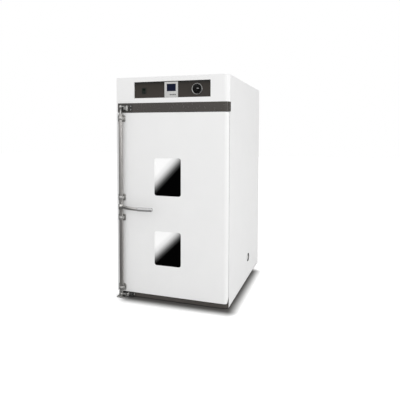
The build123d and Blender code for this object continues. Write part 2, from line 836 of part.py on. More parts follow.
with BuildPart() as control_panel_plate:
    block(
        (panel_x - panel_width / 2 - panel_overlap, panel_x + panel_width / 2 + panel_overlap),
        (panel_face, panel_face + sheet),
        (panel_bottom - panel_overlap, panel_top + panel_overlap),
    )
    cut_y = (panel_face - sheet, panel_face + 2 * sheet)
    body_half_x = controller_width / 2 - controller_body_inset + fit_gap
    body_half_z = controller_height / 2 - controller_body_inset + fit_gap
    block((controller_x - body_half_x, controller_x + body_half_x), cut_y,
          (controller_z - body_half_z, controller_z + body_half_z), Mode.SUBTRACT)
    rocker_half_x = rocker_body_width / 2 + fit_gap
    rocker_half_z = rocker_body_height / 2 + fit_gap
    block((rocker_x - rocker_half_x, rocker_x + rocker_half_x), cut_y,
          (rocker_z - rocker_half_z, rocker_z + rocker_half_z), Mode.SUBTRACT)
    rod_y(dial_x, dial_z, cut_y, dial_ring_hole, Mode.SUBTRACT)
save(control_panel_plate, "control_panel_plate")

controller_front = panel_face - controller_proud
key_front = controller_front - key_proud

with BuildPart() as controller_housing:
    with Locations((controller_x, panel_face - controller_proud / 2, controller_z)):
        Box(controller_width, controller_proud, controller_height)
    edge = controller_housing.edges().filter_by(Axis.Y)
    fillet(edge, controller_proud / 2)
    body_x = controller_width / 2 - controller_body_inset
    body_z = controller_height / 2 - controller_body_inset
    block((controller_x - body_x, controller_x + body_x), (panel_face, panel_face + controller_body_depth),
          (controller_z - body_z, controller_z + body_z))
    block(
        (screen_x - screen_width / 2 - fit_gap, screen_x + screen_width / 2 + fit_gap),
        (controller_front - sheet, controller_front + screen_inset + screen_thickness),
        (screen_z - screen_height / 2 - fit_gap, screen_z + screen_height / 2 + fit_gap),
        Mode.SUBTRACT,
    )
    for key in range(len(key_names)):
        key_x = key_first_x + key * key_pitch
        block(
            (key_x - key_width / 2 - fit_gap, key_x + key_width / 2 + fit_gap),
            (controller_front - sheet, key_front + key_depth + key_travel + fit_gap),
            (key_z - key_height / 2 - fit_gap, key_z + key_height / 2 + fit_gap),
            Mode.SUBTRACT,
        )
save(controller_housing, "controller_housing")

with BuildPart() as controller_screen:
    block(
        (screen_x - screen_width / 2, screen_x + screen_width / 2),
        (controller_front + screen_inset, controller_front + screen_inset + screen_thickness),
        (screen_z - screen_height / 2, screen_z + screen_height / 2),
    )
save(controller_screen, "controller_screen")

for key, key_name in enumerate(key_names):
    with BuildPart() as controller_key:
        key_x = key_first_x + key * key_pitch
        block((key_x - key_width / 2, key_x + key_width / 2), (key_front, key_front + key_depth),
              (key_z - key_height / 2, key_z + key_height / 2))
        fillet(controller_key.edges().group_by(Axis.Y)[0], key_proud / 4)
    save(controller_key, key_name)

rocker_pivot_y = panel_face + rocker_pivot_depth

with BuildPart() as rocker_frame:
    bezel_x = rocker_bezel_width / 2
    bezel_z = rocker_bezel_height / 2
    block((rocker_x - bezel_x, rocker_x + bezel_x), (panel_face - rocker_bezel, panel_face),
          (rocker_z - bezel_z, rocker_z + bezel_z))
    fillet(rocker_frame.edges().filter_by(Axis.Y), rocker_bezel)
    body_x = rocker_body_width / 2
    body_z = rocker_body_height / 2
    block((rocker_x - body_x, rocker_x + body_x), (panel_face, panel_face + rocker_body_depth),
          (rocker_z - body_z, rocker_z + body_z))
    open_x = rocker_opening_width / 2
    open_z = rocker_opening_height / 2
    block((rocker_x - open_x, rocker_x + open_x),
          (panel_face - 2 * rocker_bezel, panel_face + rocker_body_depth - rocker_bezel),
          (rocker_z - open_z, rocker_z + open_z), Mode.SUBTRACT)
    rod_x(rocker_pivot_y, rocker_z, (rocker_x - body_x, rocker_x + body_x), rocker_pin_radius + running_gap,
          Mode.SUBTRACT)
save(rocker_frame, "rocker_frame")

rocker_crown = 3.0
rocker_dip = 1.0
rocker_shoulder = 5.0
rocker_keel = 12.0

with BuildPart() as power_rocker:
    with BuildSketch(Plane.YZ.offset(rocker_x - rocker_width / 2)):
        with BuildLine():
            Polyline(
                (panel_face - rocker_crown, rocker_z - rocker_half_length),
                (panel_face - rocker_dip, rocker_z),
                (panel_face - rocker_crown, rocker_z + rocker_half_length),
                (panel_face + rocker_shoulder, rocker_z + rocker_half_length),
                (panel_face + rocker_keel, rocker_z),
                (panel_face + rocker_shoulder, rocker_z - rocker_half_length),
                close=True,
            )
        make_face()
    extrude(amount=rocker_width)
    rod_x(rocker_pivot_y, rocker_z, (rocker_x - rocker_pin_half, rocker_x + rocker_pin_half), rocker_pin_radius)
rocker_axis = Axis((rocker_x, rocker_pivot_y, rocker_z), (1, 0, 0))
power_rocker.part = power_rocker.part.rotate(rocker_axis, rocker_tilt)
save(power_rocker, "power_rocker")

with BuildPart() as dial_ring:
    rod_y(dial_x, dial_z, (panel_face - dial_ring_thickness, panel_face), dial_ring_radius)
    chamfer(dial_ring.edges().sort_by(Axis.Y)[0], dial_ring_thickness / 3)
    rod_y(dial_x, dial_z, (panel_face - 2 * dial_ring_thickness, panel_face + sheet), dial_ring_hole, Mode.SUBTRACT)
save(dial_ring, "dial_ring")

with BuildPart() as dial_knob:
    knob_back = panel_face - dial_ring_thickness - fit_gap
    rod_y(dial_x, dial_z, (knob_back - knob_skirt, knob_back), knob_radius)
    rod_y(dial_x, dial_z, (knob_back - knob_height, knob_back), knob_grip_radius)
    fillet(dial_knob.edges().sort_by(Axis.Y)[0], knob_bar_height)
    block(
        (dial_x - knob_grip_radius / 2, dial_x + knob_grip_radius),
        (knob_back - knob_height - knob_bar_height, knob_back - knob_skirt),
        (dial_z - knob_bar_width / 2, dial_z + knob_bar_width / 2),
    )
    rod_y(dial_x, dial_z, (knob_back - knob_skirt, knob_back + knob_shaft_length), knob_shaft_radius)
save(dial_knob, "dial_knob")

# Pivot blocks: solid corner pieces inside the door, bored for the hinge pins
pivot_block_left = right - 44.0
pivot_block_height = 50.0
pivot_block_z = {
    "bottom": door_bottom + sheet + fit_gap,
    "top": door_top - sheet - fit_gap - pivot_block_height,
}

with BuildPart() as door_pivot_blocks:
    for block_low in pivot_block_z.values():
        wrapped_slab(
            (pivot_block_left, right - sheet - fit_gap),
            (front + sheet + fit_gap, pan_back),
            (block_low, block_low + pivot_block_height),
            inner_corner,
        )
    bore_radius = pin_radius + running_gap
    rod_z(hinge_x, hinge_y, (door_bottom, door_bottom + pin_reach + sheet), bore_radius, Mode.SUBTRACT)
    rod_z(hinge_x, hinge_y, (door_top - pin_reach - sheet, door_top), bore_radius, Mode.SUBTRACT)
save(door_pivot_blocks, "door_pivot_blocks")

# Door skin: white pan with two window openings, notched over the lower pivot
notch_x = right - 15.0
notch_depth = 13.5
windows = {
    "upper": (upper_window_z, upper_window_height),
    "lower": (lower_window_z, lower_window_height),
}

with BuildPart() as door_outer_skin:
    wrapped_slab((left, right), (front, pan_back), (door_bottom, door_top), corner_radius)
    wrapped_slab(
        (left + sheet, right - sheet),
        (front + sheet, pan_back),
        (door_bottom + sheet, door_top - sheet),
        corner_radius - sheet,
        Mode.SUBTRACT,
    )
    rod_z(hinge_x, hinge_y, (door_bottom - sheet, door_bottom + 2 * sheet), bore_radius, Mode.SUBTRACT)
    rod_z(hinge_x, hinge_y, (door_top - 2 * sheet, door_top + sheet), bore_radius, Mode.SUBTRACT)
    for window_z, window_height in windows.values():
        rounded_window(window_x, window_z, (front - sheet, front + 2 * sheet), window_width, window_height,
                       window_radius, Mode.SUBTRACT)
    with BuildSketch(Plane.YZ.offset(notch_x)):
        with BuildLine():
            Polyline(
                (pan_back, door_bottom + pivot_block_height),
                (pan_back - notch_depth, door_bottom),
                (pan_back, door_bottom),
                close=True,
            )
        make_face()
    extrude(amount=right - notch_x, mode=Mode.SUBTRACT)

# Guides that carry the lock bar, from the top of the door down
guide_heights = (door_top - 47.0, handle_z + 79.0, handle_z - 94.0, door_bottom + 40.0)
guide_x = bar_x - 4.0
guide_width = 71.0
guide_height = 58.0
guide_plate = 4.0
guide_corner = 10.0
saddle_height = 26.0
saddle_wall = 5.0
guide_bolt_x = 29.0
guide_bolt_z = 20.0
guide_bolt_radius = 3.0
guide_head_radius = 5.5
guide_head = 4.0

with BuildPart() as bar_guides:
    for guide_z in guide_heights:
        rounded_window(guide_x, guide_z, (front - guide_plate, front), guide_width, guide_height, guide_corner)
        saddle_z = (guide_z - saddle_height / 2, guide_z + saddle_height / 2)
        rod_z(bar_x, bar_y, saddle_z, bar_radius + saddle_wall)
        block((bar_x - bar_radius - saddle_wall, bar_x + bar_radius + saddle_wall), (bar_y, front - guide_plate),
              saddle_z)
        rod_z(bar_x, bar_y, (saddle_z[0] - sheet, saddle_z[1] + sheet), bar_radius + running_gap, Mode.SUBTRACT)
        with BuildSketch(Plane(origin=(guide_x, front, guide_z), x_dir=(1, 0, 0), z_dir=(0, -1, 0))):
            with GridLocations(2 * guide_bolt_x, 2 * guide_bolt_z, 2, 2):
                Circle(guide_bolt_radius + running_gap)
        extrude(amount=guide_plate, mode=Mode.SUBTRACT)
save(bar_guides, "bar_guides")

with BuildPart() as guide_bolts:
    for guide_z in guide_heights:
        for side_x in (-guide_bolt_x, guide_bolt_x):
            for side_z in (-guide_bolt_z, guide_bolt_z):
                bolt_x = guide_x + side_x
                bolt_z = guide_z + side_z
                rod_y(bolt_x, bolt_z, (front - guide_plate, front + sheet), guide_bolt_radius)
                rod_y(bolt_x, bolt_z, (front - guide_plate - guide_head, front - guide_plate), guide_head_radius)
save(guide_bolts, "guide_bolts")

with door_outer_skin:
    for guide_z in guide_heights:
        with BuildSketch(Plane(origin=(guide_x, front, guide_z), x_dir=(1, 0, 0), z_dir=(0, 1, 0))):
            with GridLocations(2 * guide_bolt_x, 2 * guide_bolt_z, 2, 2):
                Circle(guide_bolt_radius + running_gap)
        extrude(amount=sheet, mode=Mode.SUBTRACT)
save(door_outer_skin, "door_outer_skin")

# Door inner panel: flat flange behind the skin and the plug that fills the frame
plug_x = chamber_x - plug_clearance
plug_z = (chamber_floor + plug_clearance, chamber_top - plug_clearance)
flange_gap = 0.7
flange_z = (door_bottom + sheet + fit_gap, door_top - sheet - fit_gap)
strip_right = right - sheet - flange_gap - (
    corner_radius - sheet - math.sqrt((corner_radius - sheet) ** 2 - (corner_radius - door_pan_depth + sheet) ** 2)
)

with BuildPart() as door_inner_panel:
    flange_y = (pan_back - sheet, pan_back)
    block((left + sheet + fit_gap, pivot_block_left - fit_gap), flange_y, flange_z)
    strip_z = (pivot_block_z["bottom"] + pivot_block_height + fit_gap, pivot_block_z["top"] - fit_gap)
    block((pivot_block_left - fit_gap, strip_right), flange_y, strip_z)
    block((-plug_x, plug_x), (pan_back - sheet, plug_back), plug_z)
    block((-plug_x + sheet, plug_x - sheet), (pan_back - 2 * sheet, plug_back - sheet),
          (plug_z[0] + sheet, plug_z[1] - sheet), Mode.SUBTRACT)
    for window_z, window_height in windows.values():
        rounded_window(window_x, window_z, (pan_back - 2 * sheet, plug_back + sheet), window_width, window_height,
                       window_radius, Mode.SUBTRACT)
save(door_inner_panel, "door_inner_panel")

with BuildPart() as door_insulation:
    block((left + sheet + fit_gap, pivot_block_left - 2 * fit_gap),
          (front + sheet + fit_gap, pan_back - sheet - fit_gap), flange_z)
    block((-plug_x + sheet + fit_gap, plug_x - sheet - fit_gap),
          (pan_back - sheet - fit_gap, plug_back - sheet - fit_gap),
          (plug_z[0] + sheet + fit_gap, plug_z[1] - sheet - fit_gap))
    for window_z, window_height in windows.values():
        rounded_window(window_x, window_z, (front, plug_back), window_width, window_height, window_radius,
                       Mode.SUBTRACT)
save(door_insulation, "door_insulation")

# Silicone seal between the door flange and the front frame
seal_inner = 10.0
seal_width = 20.0
seal_radius = 30.0

with BuildPart() as door_gasket:
    with BuildSketch(Plane(origin=(0, pan_back, chamber_floor + chamber_height / 2), x_dir=(1, 0, 0),
                           z_dir=(0, 1, 0))):
        seal_outer = seal_inner + seal_width
        RectangleRounded(chamber_width + 2 * seal_outer, chamber_height + 2 * seal_outer, seal_radius)
        RectangleRounded(chamber_width + 2 * seal_inner, chamber_height + 2 * seal_inner, seal_radius - seal_width / 2,
                         mode=Mode.SUBTRACT)
    extrude(amount=seal_gap - fit_gap)
save(door_gasket, "door_gasket")

# Windows: a rim that lines the opening through the door, and two panes each
rim_proud = 0.5
inner_trim = 12.0

for window_name, (window_z, window_height) in windows.items():
    pane_width = window_width - 2 * fit_gap - 2 * window_rim
    pane_height = window_height - 2 * fit_gap - 2 * window_rim
    pane_radius = window_radius - window_rim

    with BuildPart() as window_frame:
        rounded_window(window_x, window_z, (front - rim_proud, plug_back + sheet), window_width - 2 * fit_gap,
                       window_height - 2 * fit_gap, window_radius)
        rounded_window(window_x, window_z, (plug_back, plug_back + sheet), window_width + 2 * inner_trim,
                       window_height + 2 * inner_trim, window_radius + inner_trim)
        rounded_window(window_x, window_z, (front - sheet, plug_back + 2 * sheet), pane_width, pane_height,
                       pane_radius, Mode.SUBTRACT)
    save(window_frame, f"{window_name}_window_frame")

    with BuildPart() as window_glass:
        outer_pane = (front + pane_recess, front + pane_recess + pane_thickness)
        inner_pane = (plug_back - pane_thickness, plug_back)
        for pane_y in (outer_pane, inner_pane):
            rounded_window(window_x, window_z, pane_y, pane_width - 2 * fit_gap, pane_height - 2 * fit_gap,
                           pane_radius)
    save(window_glass, f"{window_name}_window_glass")

# Lock bar: tube carried in the guides, turned by the handle
bar_wall = 2.5
cone_length = 24.0
plug_length = 30.0
spindle_top = band_bottom + 58.0
spindle_bottom = floor_gap + 4.0
cam_thickness = 8.0
cam_half_width = 8.0
cam_reach = 42.0
cam_tip = 10.0
top_cam_z = spindle_top - 6.0
top_cam_drop = 32.0
bottom_cam_z = plinth_top - 4.0
bottom_cam_drop = 16.0
cam_boss_radius = 14.0
cam_boss_height = 18.0

with BuildPart() as lock_bar:
    rod_z(bar_x, bar_y, (bar_bottom, bar_top), bar_radius)
    rod_z(bar_x, bar_y, (bar_bottom - sheet, bar_top + sheet), bar_radius - bar_wall, Mode.SUBTRACT)
save(lock_bar, "lock_bar")


def bar_cone(z, direction):
    """The taper from the tube's end to the spindle."""
    with Locations((bar_x, bar_y, z + direction * cone_length / 2)):
        Cone(bar_radius, spindle_radius, cone_length, rotation=(0 if direction > 0 else 180, 0, 0))


def lock_cam(z, drop):
    """A cam arm to the right of the spindle with its tip turned down."""
    block((bar_x, bar_x + cam_reach), (bar_y - cam_half_width, bar_y + cam_half_width), (z - cam_thickness, z))
    block((bar_x + cam_reach - cam_tip, bar_x + cam_reach), (bar_y - cam_half_width, bar_y + cam_half_width),
          (z - drop, z))


with BuildPart() as top_cam:
    rod_z(bar_x, bar_y, (bar_top - plug_length, bar_top), bar_radius - bar_wall - running_gap)
    bar_cone(bar_top, 1)
    rod_z(bar_x, bar_y, (bar_top, spindle_top), spindle_radius)
    rod_z(bar_x, bar_y, (top_cam_z - cam_boss_height, top_cam_z), cam_boss_radius)
    lock_cam(top_cam_z, top_cam_drop)
save(top_cam, "top_cam")

with BuildPart() as bottom_cam:
    rod_z(bar_x, bar_y, (bar_bottom, bar_bottom + plug_length), bar_radius - bar_wall - running_gap)
    bar_cone(bar_bottom, -1)
    rod_z(bar_x, bar_y, (spindle_bottom, bar_bottom), spindle_radius)
    rod_z(bar_x, bar_y, (bottom_cam_z - cam_boss_height, bottom_cam_z), cam_boss_radius)
    lock_cam(bottom_cam_z, bottom_cam_drop)
save(bottom_cam, "bottom_cam")

# Handle: hub fixed on the bar, a bowed lever and its grip
hub_height = 46.0
hub_wall = 5.0
lever_radius = 14.5
lever_start = (bar_x + 16.0, bar_y - 6.0)
lever_middle = (bar_x + 106.0, bar_y - 48.0)
lever_grip = (bar_x + 184.0, bar_y - 62.0)
grip_end = (bar_x + 324.0, bar_y - 54.0)
grip_radius = 17.0
grip_cap = 4.0

with BuildPart() as handle_lever:
    with BuildLine() as lever_path:
        lever_arc = ThreePointArc((*lever_start, handle_z), (*lever_middle, handle_z), (*lever_grip, handle_z))
        grip_arc = TangentArc(lever_arc @ 1, (*grip_end, handle_z), tangent=lever_arc % 1)
    with BuildSketch(Plane(origin=lever_arc @ 0, z_dir=lever_arc % 0)):
        Circle(lever_radius)
    sweep()
    rod_z(bar_x, bar_y, (handle_z - hub_height / 2, handle_z + hub_height / 2), bar_radius + hub_wall)
    rod_z(bar_x, bar_y, (handle_z - hub_height, handle_z + hub_height), bar_radius + running_gap, Mode.SUBTRACT)
save(handle_lever, "handle_lever")

with BuildPart() as handle_grip:
    with BuildLine() as grip_path:
        add(grip_arc)
    with BuildSketch(Plane(origin=grip_arc @ 0, z_dir=grip_arc % 0)):
        Circle(grip_radius)
        Circle(lever_radius + running_gap, mode=Mode.SUBTRACT)
    sweep()
    with BuildSketch(Plane(origin=grip_arc @ 1, z_dir=grip_arc % 1)):
        Circle(grip_radius)
    extrude(amount=grip_cap)
    fillet(handle_grip.edges().sort_by(Axis.X)[-1], grip_cap - fit_gap)
save(handle_grip, "handle_grip")

# Keepers that the cams close behind, on the band and on the plinth
keeper_plate = 3.0
top_keeper_x = (bar_x - 24.0, bar_x + 94.0)
top_keeper_z = (band_bottom + 8.0, band_bottom + 64.0)
boss_x = bar_x + 57.0
boss_width = 22.0
boss_height = 44.0
boss_reach = 26.0
boss_z = band_bottom + 32.0
bottom_keeper_x = (bar_x - 38.0, bar_x + 114.0)
bottom_keeper_z = (floor_gap - 4.0, plinth_top - 1.0)
shelf_plate = 4.0
shelf_plate_right = bar_x + 50.0
shelf_plate_front = bar_y - 26.0
shelf_plate_corner = 12.0
sill_boss_height = 22.0
sill_boss_z = floor_gap + 16.0
stop_block_x = (bar_x + 72.0, bar_x + 98.0)
stop_block_reach = 16.0
stop_block_z = (floor_gap + 4.0, plinth_top - 2.0)

with BuildPart() as top_keeper:
    block(top_keeper_x, (front - keeper_plate, front), top_keeper_z)
    rounded_window(boss_x, boss_z, (front - keeper_plate - boss_reach, front), boss_width, boss_height,
                   boss_width / 2 - fit_gap)

with BuildPart() as bottom_keeper:
    block(bottom_keeper_x, (front - keeper_plate, front), bottom_keeper_z)
    rounded_window(boss_x, sill_boss_z, (front - keeper_plate - boss_reach, front), boss_width, sill_boss_height,
                   boss_width / 4)
    block(stop_block_x, (front - keeper_plate - stop_block_reach, front), stop_block_z)
    block((bottom_keeper_x[0], shelf_plate_right), (shelf_plate_front, front),
          (bottom_keeper_z[0], bottom_keeper_z[0] + shelf_plate))
    shelf_corners = bottom_keeper.edges().filter_by(Axis.Z).group_by(Axis.Y)[0]
    fillet(shelf_corners, shelf_plate_corner)

keeper_bolt_radius = 4.0
keeper_head_radius = 7.0
keeper_head = 5.0
keeper_bolt_inset = 10.0
top_bolt_places = (
    (top_keeper_x[1] - keeper_bolt_inset, band_bottom + 48.0),
    (top_keeper_x[1] - keeper_bolt_inset, band_bottom + 20.0),
    (top_keeper_x[0] + keeper_bolt_inset - 2.0, band_bottom + 20.0),
)
bottom_bolt_places = (
    (bottom_keeper_x[1] - keeper_bolt_inset / 2, sill_boss_z),
    (bottom_keeper_x[0] + keeper_bolt_inset - 2.0, sill_boss_z),
)

with BuildPart() as keeper_bolts:
    for bolt_x, bolt_z in top_bolt_places + bottom_bolt_places:
        rod_y(bolt_x, bolt_z, (front - keeper_plate, front + sheet), keeper_bolt_radius)
        rod_y(bolt_x, bolt_z, (front - keeper_plate - keeper_head, front - keeper_plate), keeper_head_radius)
save(keeper_bolts, "keeper_bolts")

# Bolt holes through the keepers and the strips that they sit on
bolt_pairs = (
    (top_keeper, "top_keeper", top_bolt_places),
    (upper_band, "upper_band", top_bolt_places),
    (bottom_keeper, "bottom_keeper", bottom_bolt_places),
    (plinth, "plinth", bottom_bolt_places),
)
for bolted, bolted_name, places in bolt_pairs:
    with bolted:
        for bolt_x, bolt_z in places:
            rod_y(bolt_x, bolt_z, (front - 2 * keeper_plate, front + 2 * sheet), keeper_bolt_radius + running_gap,
                  Mode.SUBTRACT)
    save(bolted, bolted_name)
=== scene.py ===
import math
import bpy
from mathutils import Matrix, Vector


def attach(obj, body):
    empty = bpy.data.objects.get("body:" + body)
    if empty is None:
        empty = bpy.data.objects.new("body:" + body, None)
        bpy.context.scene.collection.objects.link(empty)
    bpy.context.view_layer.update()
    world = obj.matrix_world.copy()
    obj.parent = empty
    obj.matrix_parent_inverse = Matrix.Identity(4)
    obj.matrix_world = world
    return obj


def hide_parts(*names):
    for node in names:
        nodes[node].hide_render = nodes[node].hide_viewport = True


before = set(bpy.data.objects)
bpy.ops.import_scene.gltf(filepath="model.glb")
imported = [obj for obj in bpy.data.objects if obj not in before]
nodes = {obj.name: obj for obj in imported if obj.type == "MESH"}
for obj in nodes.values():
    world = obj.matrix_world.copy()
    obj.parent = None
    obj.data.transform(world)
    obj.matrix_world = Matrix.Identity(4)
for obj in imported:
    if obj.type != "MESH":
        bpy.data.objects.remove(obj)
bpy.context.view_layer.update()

# The view of the photograph: a camera a little above head height, to the right of
# the door, looking slightly down. Its lens axis lies off the middle of the picture.
camera_place = Vector((1.3120, -3.4546, 1.4065))
turn = math.radians(16.23)
tilt = math.radians(2.363)
roll = math.radians(0.30)
look = Vector((-math.sin(turn) * math.cos(tilt), math.cos(turn) * math.cos(tilt), -math.sin(tilt)))
level = Vector((math.cos(turn), math.sin(turn), 0.0))
upward = level.cross(look)
across = math.cos(roll) * level + math.sin(roll) * upward
upright = -math.sin(roll) * level + math.cos(roll) * upward
camera_data = bpy.data.cameras.new("view")
camera_data.lens = 33.97
camera_data.sensor_width = 36.0
camera_data.shift_x = -0.0659
camera_data.shift_y = -0.1255
camera_data.clip_end = 60.0
camera = bpy.data.objects.new("view", camera_data)
camera_turn = Matrix((across, upright, -look)).transposed().to_4x4()
camera.matrix_world = Matrix.Translation(camera_place) @ camera_turn
bpy.context.scene.collection.objects.link(camera)
bpy.context.scene.camera = camera
bpy.context.scene.view_settings.view_transform = "Standard"

# White photo studio: an even pale surround, four soft boxes and a wide white floor.
# Polished pieces mirror a bright front and ceiling, and darker sides and back.
surround = bpy.data.worlds.new("studio")
surround.use_nodes = True
bpy.context.scene.world = surround
tree = surround.node_tree
tree.nodes.clear()
output = tree.nodes.new("ShaderNodeOutputWorld")
either = tree.nodes.new("ShaderNodeMixShader")
lighting = tree.nodes.new("ShaderNodeBackground")
lighting.inputs["Color"].default_value = (1.0, 1.0, 1.0, 1.0)
lighting.inputs["Strength"].default_value = 0.90
paper = tree.nodes.new("ShaderNodeBackground")
paper.inputs["Color"].default_value = (1.0, 1.0, 1.0, 1.0)
paper.inputs["Strength"].default_value = 1.0
mirrored = tree.nodes.new("ShaderNodeBackground")
mirrored.inputs["Color"].default_value = (1.0, 1.0, 1.0, 1.0)
either_paper = tree.nodes.new("ShaderNodeMixShader")
rays = tree.nodes.new("ShaderNodeLightPath")
direction = tree.nodes.new("ShaderNodeTexCoord")
split = tree.nodes.new("ShaderNodeSeparateXYZ")
to_front = tree.nodes.new("ShaderNodeMath")
to_front.operation = "MULTIPLY"
to_front.inputs[1].default_value = -1.0
brighter = tree.nodes.new("ShaderNodeMath")
brighter.operation = "MAXIMUM"
walls = tree.nodes.new("ShaderNodeMapRange")
walls.interpolation_type = "SMOOTHSTEP"
walls.inputs["From Min"].default_value = 0.25
walls.inputs["From Max"].default_value = 0.80
walls.inputs["To Min"].default_value = 0.10
walls.inputs["To Max"].default_value = 1.05
tree.links.new(direction.outputs["Generated"], split.inputs[0])
tree.links.new(split.outputs["Y"], to_front.inputs[0])
tree.links.new(to_front.outputs[0], brighter.inputs[0])
tree.links.new(split.outputs["Z"], brighter.inputs[1])
tree.links.new(brighter.outputs[0], walls.inputs["Value"])
tree.links.new(walls.outputs["Result"], mirrored.inputs["Strength"])
tree.links.new(rays.outputs["Is Glossy Ray"], either.inputs[0])
tree.links.new(lighting.outputs[0], either.inputs[1])
tree.links.new(mirrored.outputs[0], either.inputs[2])
tree.links.new(rays.outputs["Is Camera Ray"], either_paper.inputs[0])
tree.links.new(either.outputs[0], either_paper.inputs[1])
tree.links.new(paper.outputs[0], either_paper.inputs[2])
tree.links.new(either_paper.outputs[0], output.inputs["Surface"])


def soft_box(name, place, aim, width, height, power):
    """A rectangular studio lamp turned towards a point."""
    data = bpy.data.lights.new(name, "AREA")
    data.shape = "RECTANGLE"
    data.size = width
    data.size_y = height
    data.energy = power
    lamp = bpy.data.objects.new(name, data)
    lamp.location = place
    lamp.rotation_euler = (Vector(aim) - Vector(place)).to_track_quat("-Z", "Y").to_euler()
    bpy.context.scene.collection.objects.link(lamp)


soft_box("front_box", (1.9, -5.4, 3.2), (0.0, -0.6, 1.0), 2.0, 1.6, 20.0)
soft_box("side_box", (5.4, -2.6, 2.2), (0.3, 0.0, 1.0), 0.9, 3.4, 47.0)
soft_box("back_side_box", (4.6, 1.8, 1.5), (0.5, 0.2, 0.9), 3.0, 3.0, 26.0)
soft_box("top_box", (0.0, 0.2, 4.6), (0.0, 0.0, 1.0), 3.0, 3.0, 15.0)

# The floor is white paper. A painted shadow lies round the oven's foot: its depth follows
# from the distance to a rectangle a little smaller than the base.
bpy.ops.mesh.primitive_plane_add(size=40.0, location=(0.0, 0.0, 0.0))
floor = bpy.context.object
floor.name = "studio_floor"
floor_finish = bpy.data.materials.new("studio_floor")
floor_finish.use_nodes = True
tree = floor_finish.node_tree
tree.nodes.clear()
output = tree.nodes.new("ShaderNodeOutputMaterial")
matt = tree.nodes.new("ShaderNodeBsdfDiffuse")
rays = tree.nodes.new("ShaderNodeLightPath")
place = tree.nodes.new("ShaderNodeTexCoord")
centre = tree.nodes.new("ShaderNodeVectorMath")
centre.operation = "SUBTRACT"
centre.inputs[1].default_value = (0.07, -0.168, 0.0)
absolute = tree.nodes.new("ShaderNodeVectorMath")
absolute.operation = "ABSOLUTE"
outside = tree.nodes.new("ShaderNodeVectorMath")
outside.operation = "SUBTRACT"
outside.inputs[1].default_value = (0.43, 0.455, 0.0)
positive = tree.nodes.new("ShaderNodeVectorMath")
positive.operation = "MAXIMUM"
positive.inputs[1].default_value = (0.0, 0.0, 0.0)
distance = tree.nodes.new("ShaderNodeVectorMath")
distance.operation = "LENGTH"
tree.links.new(place.outputs["Object"], centre.inputs[0])
tree.links.new(centre.outputs[0], absolute.inputs[0])
tree.links.new(absolute.outputs[0], outside.inputs[0])
tree.links.new(outside.outputs[0], positive.inputs[0])
tree.links.new(positive.outputs[0], distance.inputs[0])
# Painted shadow: dark next to the foot, fading to the white paper within 0.135 m.
painted_floor_shadow = tree.nodes.new("ShaderNodeValToRGB")
painted_floor_shadow.color_ramp.interpolation = "EASE"
painted_floor_shadow.color_ramp.elements[0].position = 0.0
painted_floor_shadow.color_ramp.elements[0].color = (0.11, 0.107, 0.103, 1.0)
painted_floor_shadow.color_ramp.elements[1].position = 0.135
painted_floor_shadow.color_ramp.elements[1].color = (1.32, 1.32, 1.32, 1.0)
tree.links.new(distance.outputs["Value"], painted_floor_shadow.inputs[0])
paper_white = tree.nodes.new("ShaderNodeMixRGB")
paper_white.inputs["Color1"].default_value = (0.9, 0.9, 0.9, 1.0)
mirrored_floor = tree.nodes.new("ShaderNodeMixRGB")
mirrored_floor.inputs["Color2"].default_value = (0.20, 0.20, 0.20, 1.0)
tree.links.new(rays.outputs["Is Camera Ray"], paper_white.inputs["Fac"])
tree.links.new(painted_floor_shadow.outputs[0], paper_white.inputs["Color2"])
tree.links.new(rays.outputs["Is Glossy Ray"], mirrored_floor.inputs["Fac"])
tree.links.new(paper_white.outputs[0], mirrored_floor.inputs["Color1"])
tree.links.new(mirrored_floor.outputs[0], matt.inputs["Color"])
tree.links.new(matt.outputs[0], output.inputs["Surface"])
floor.data.materials.append(floor_finish)


# Outer sheets and door skin: folded sheet steel, sprayed with white semi-gloss enamel
# and baked. The spray leaves a very fine orange peel.
def new_finish(name):
    """An empty material with its principled shader and object coordinates."""
    finish = bpy.data.materials.new(name)
    finish.use_nodes = True
    shader = finish.node_tree.nodes["Principled BSDF"]
    place = finish.node_tree.nodes.new("ShaderNodeTexCoord")
    return finish, finish.node_tree, shader, place.outputs["Object"]


def grain(tree, place, scale, detail=3.0, stretch=(1.0, 1.0, 1.0)):
    """A noise on the piece's own coordinates, drawn out along one axis for brushed metal."""
    mapping = tree.nodes.new("ShaderNodeMapping")
    mapping.inputs["Scale"].default_value = stretch
    noise = tree.nodes.new("ShaderNodeTexNoise")
    noise.inputs["Scale"].default_value = scale
    noise.inputs["Detail"].default_value = detail
    tree.links.new(place, mapping.inputs["Vector"])
    tree.links.new(mapping.outputs[0], noise.inputs["Vector"])
    return noise.outputs["Fac"]


def vary(tree, signal, low, high, target):
    """Drive a shader socket between two values or two colours."""
    if isinstance(low, tuple):
        ramp = tree.nodes.new("ShaderNodeValToRGB")
        ramp.color_ramp.elements[0].position = 0.3
        ramp.color_ramp.elements[0].color = (*low, 1.0)
        ramp.color_ramp.elements[1].position = 0.7
        ramp.color_ramp.elements[1].color = (*high, 1.0)
        tree.links.new(signal, ramp.inputs[0])
        tree.links.new(ramp.outputs[0], target)
        return
    span = tree.nodes.new("ShaderNodeMapRange")
    span.inputs["From Min"].default_value = 0.3
    span.inputs["From Max"].default_value = 0.7
    span.inputs["To Min"].default_value = low
    span.inputs["To Max"].default_value = high
    tree.links.new(signal, span.inputs["Value"])
    tree.links.new(span.outputs["Result"], target)


def emboss(tree, shader, signal, strength, distance):
    """Fine relief from a pattern."""
    bump = tree.nodes.new("ShaderNodeBump")
    bump.inputs["Strength"].default_value = strength
    bump.inputs["Distance"].default_value = distance
    tree.links.new(signal, bump.inputs["Height"])
    tree.links.new(bump.outputs[0], shader.inputs["Normal"])


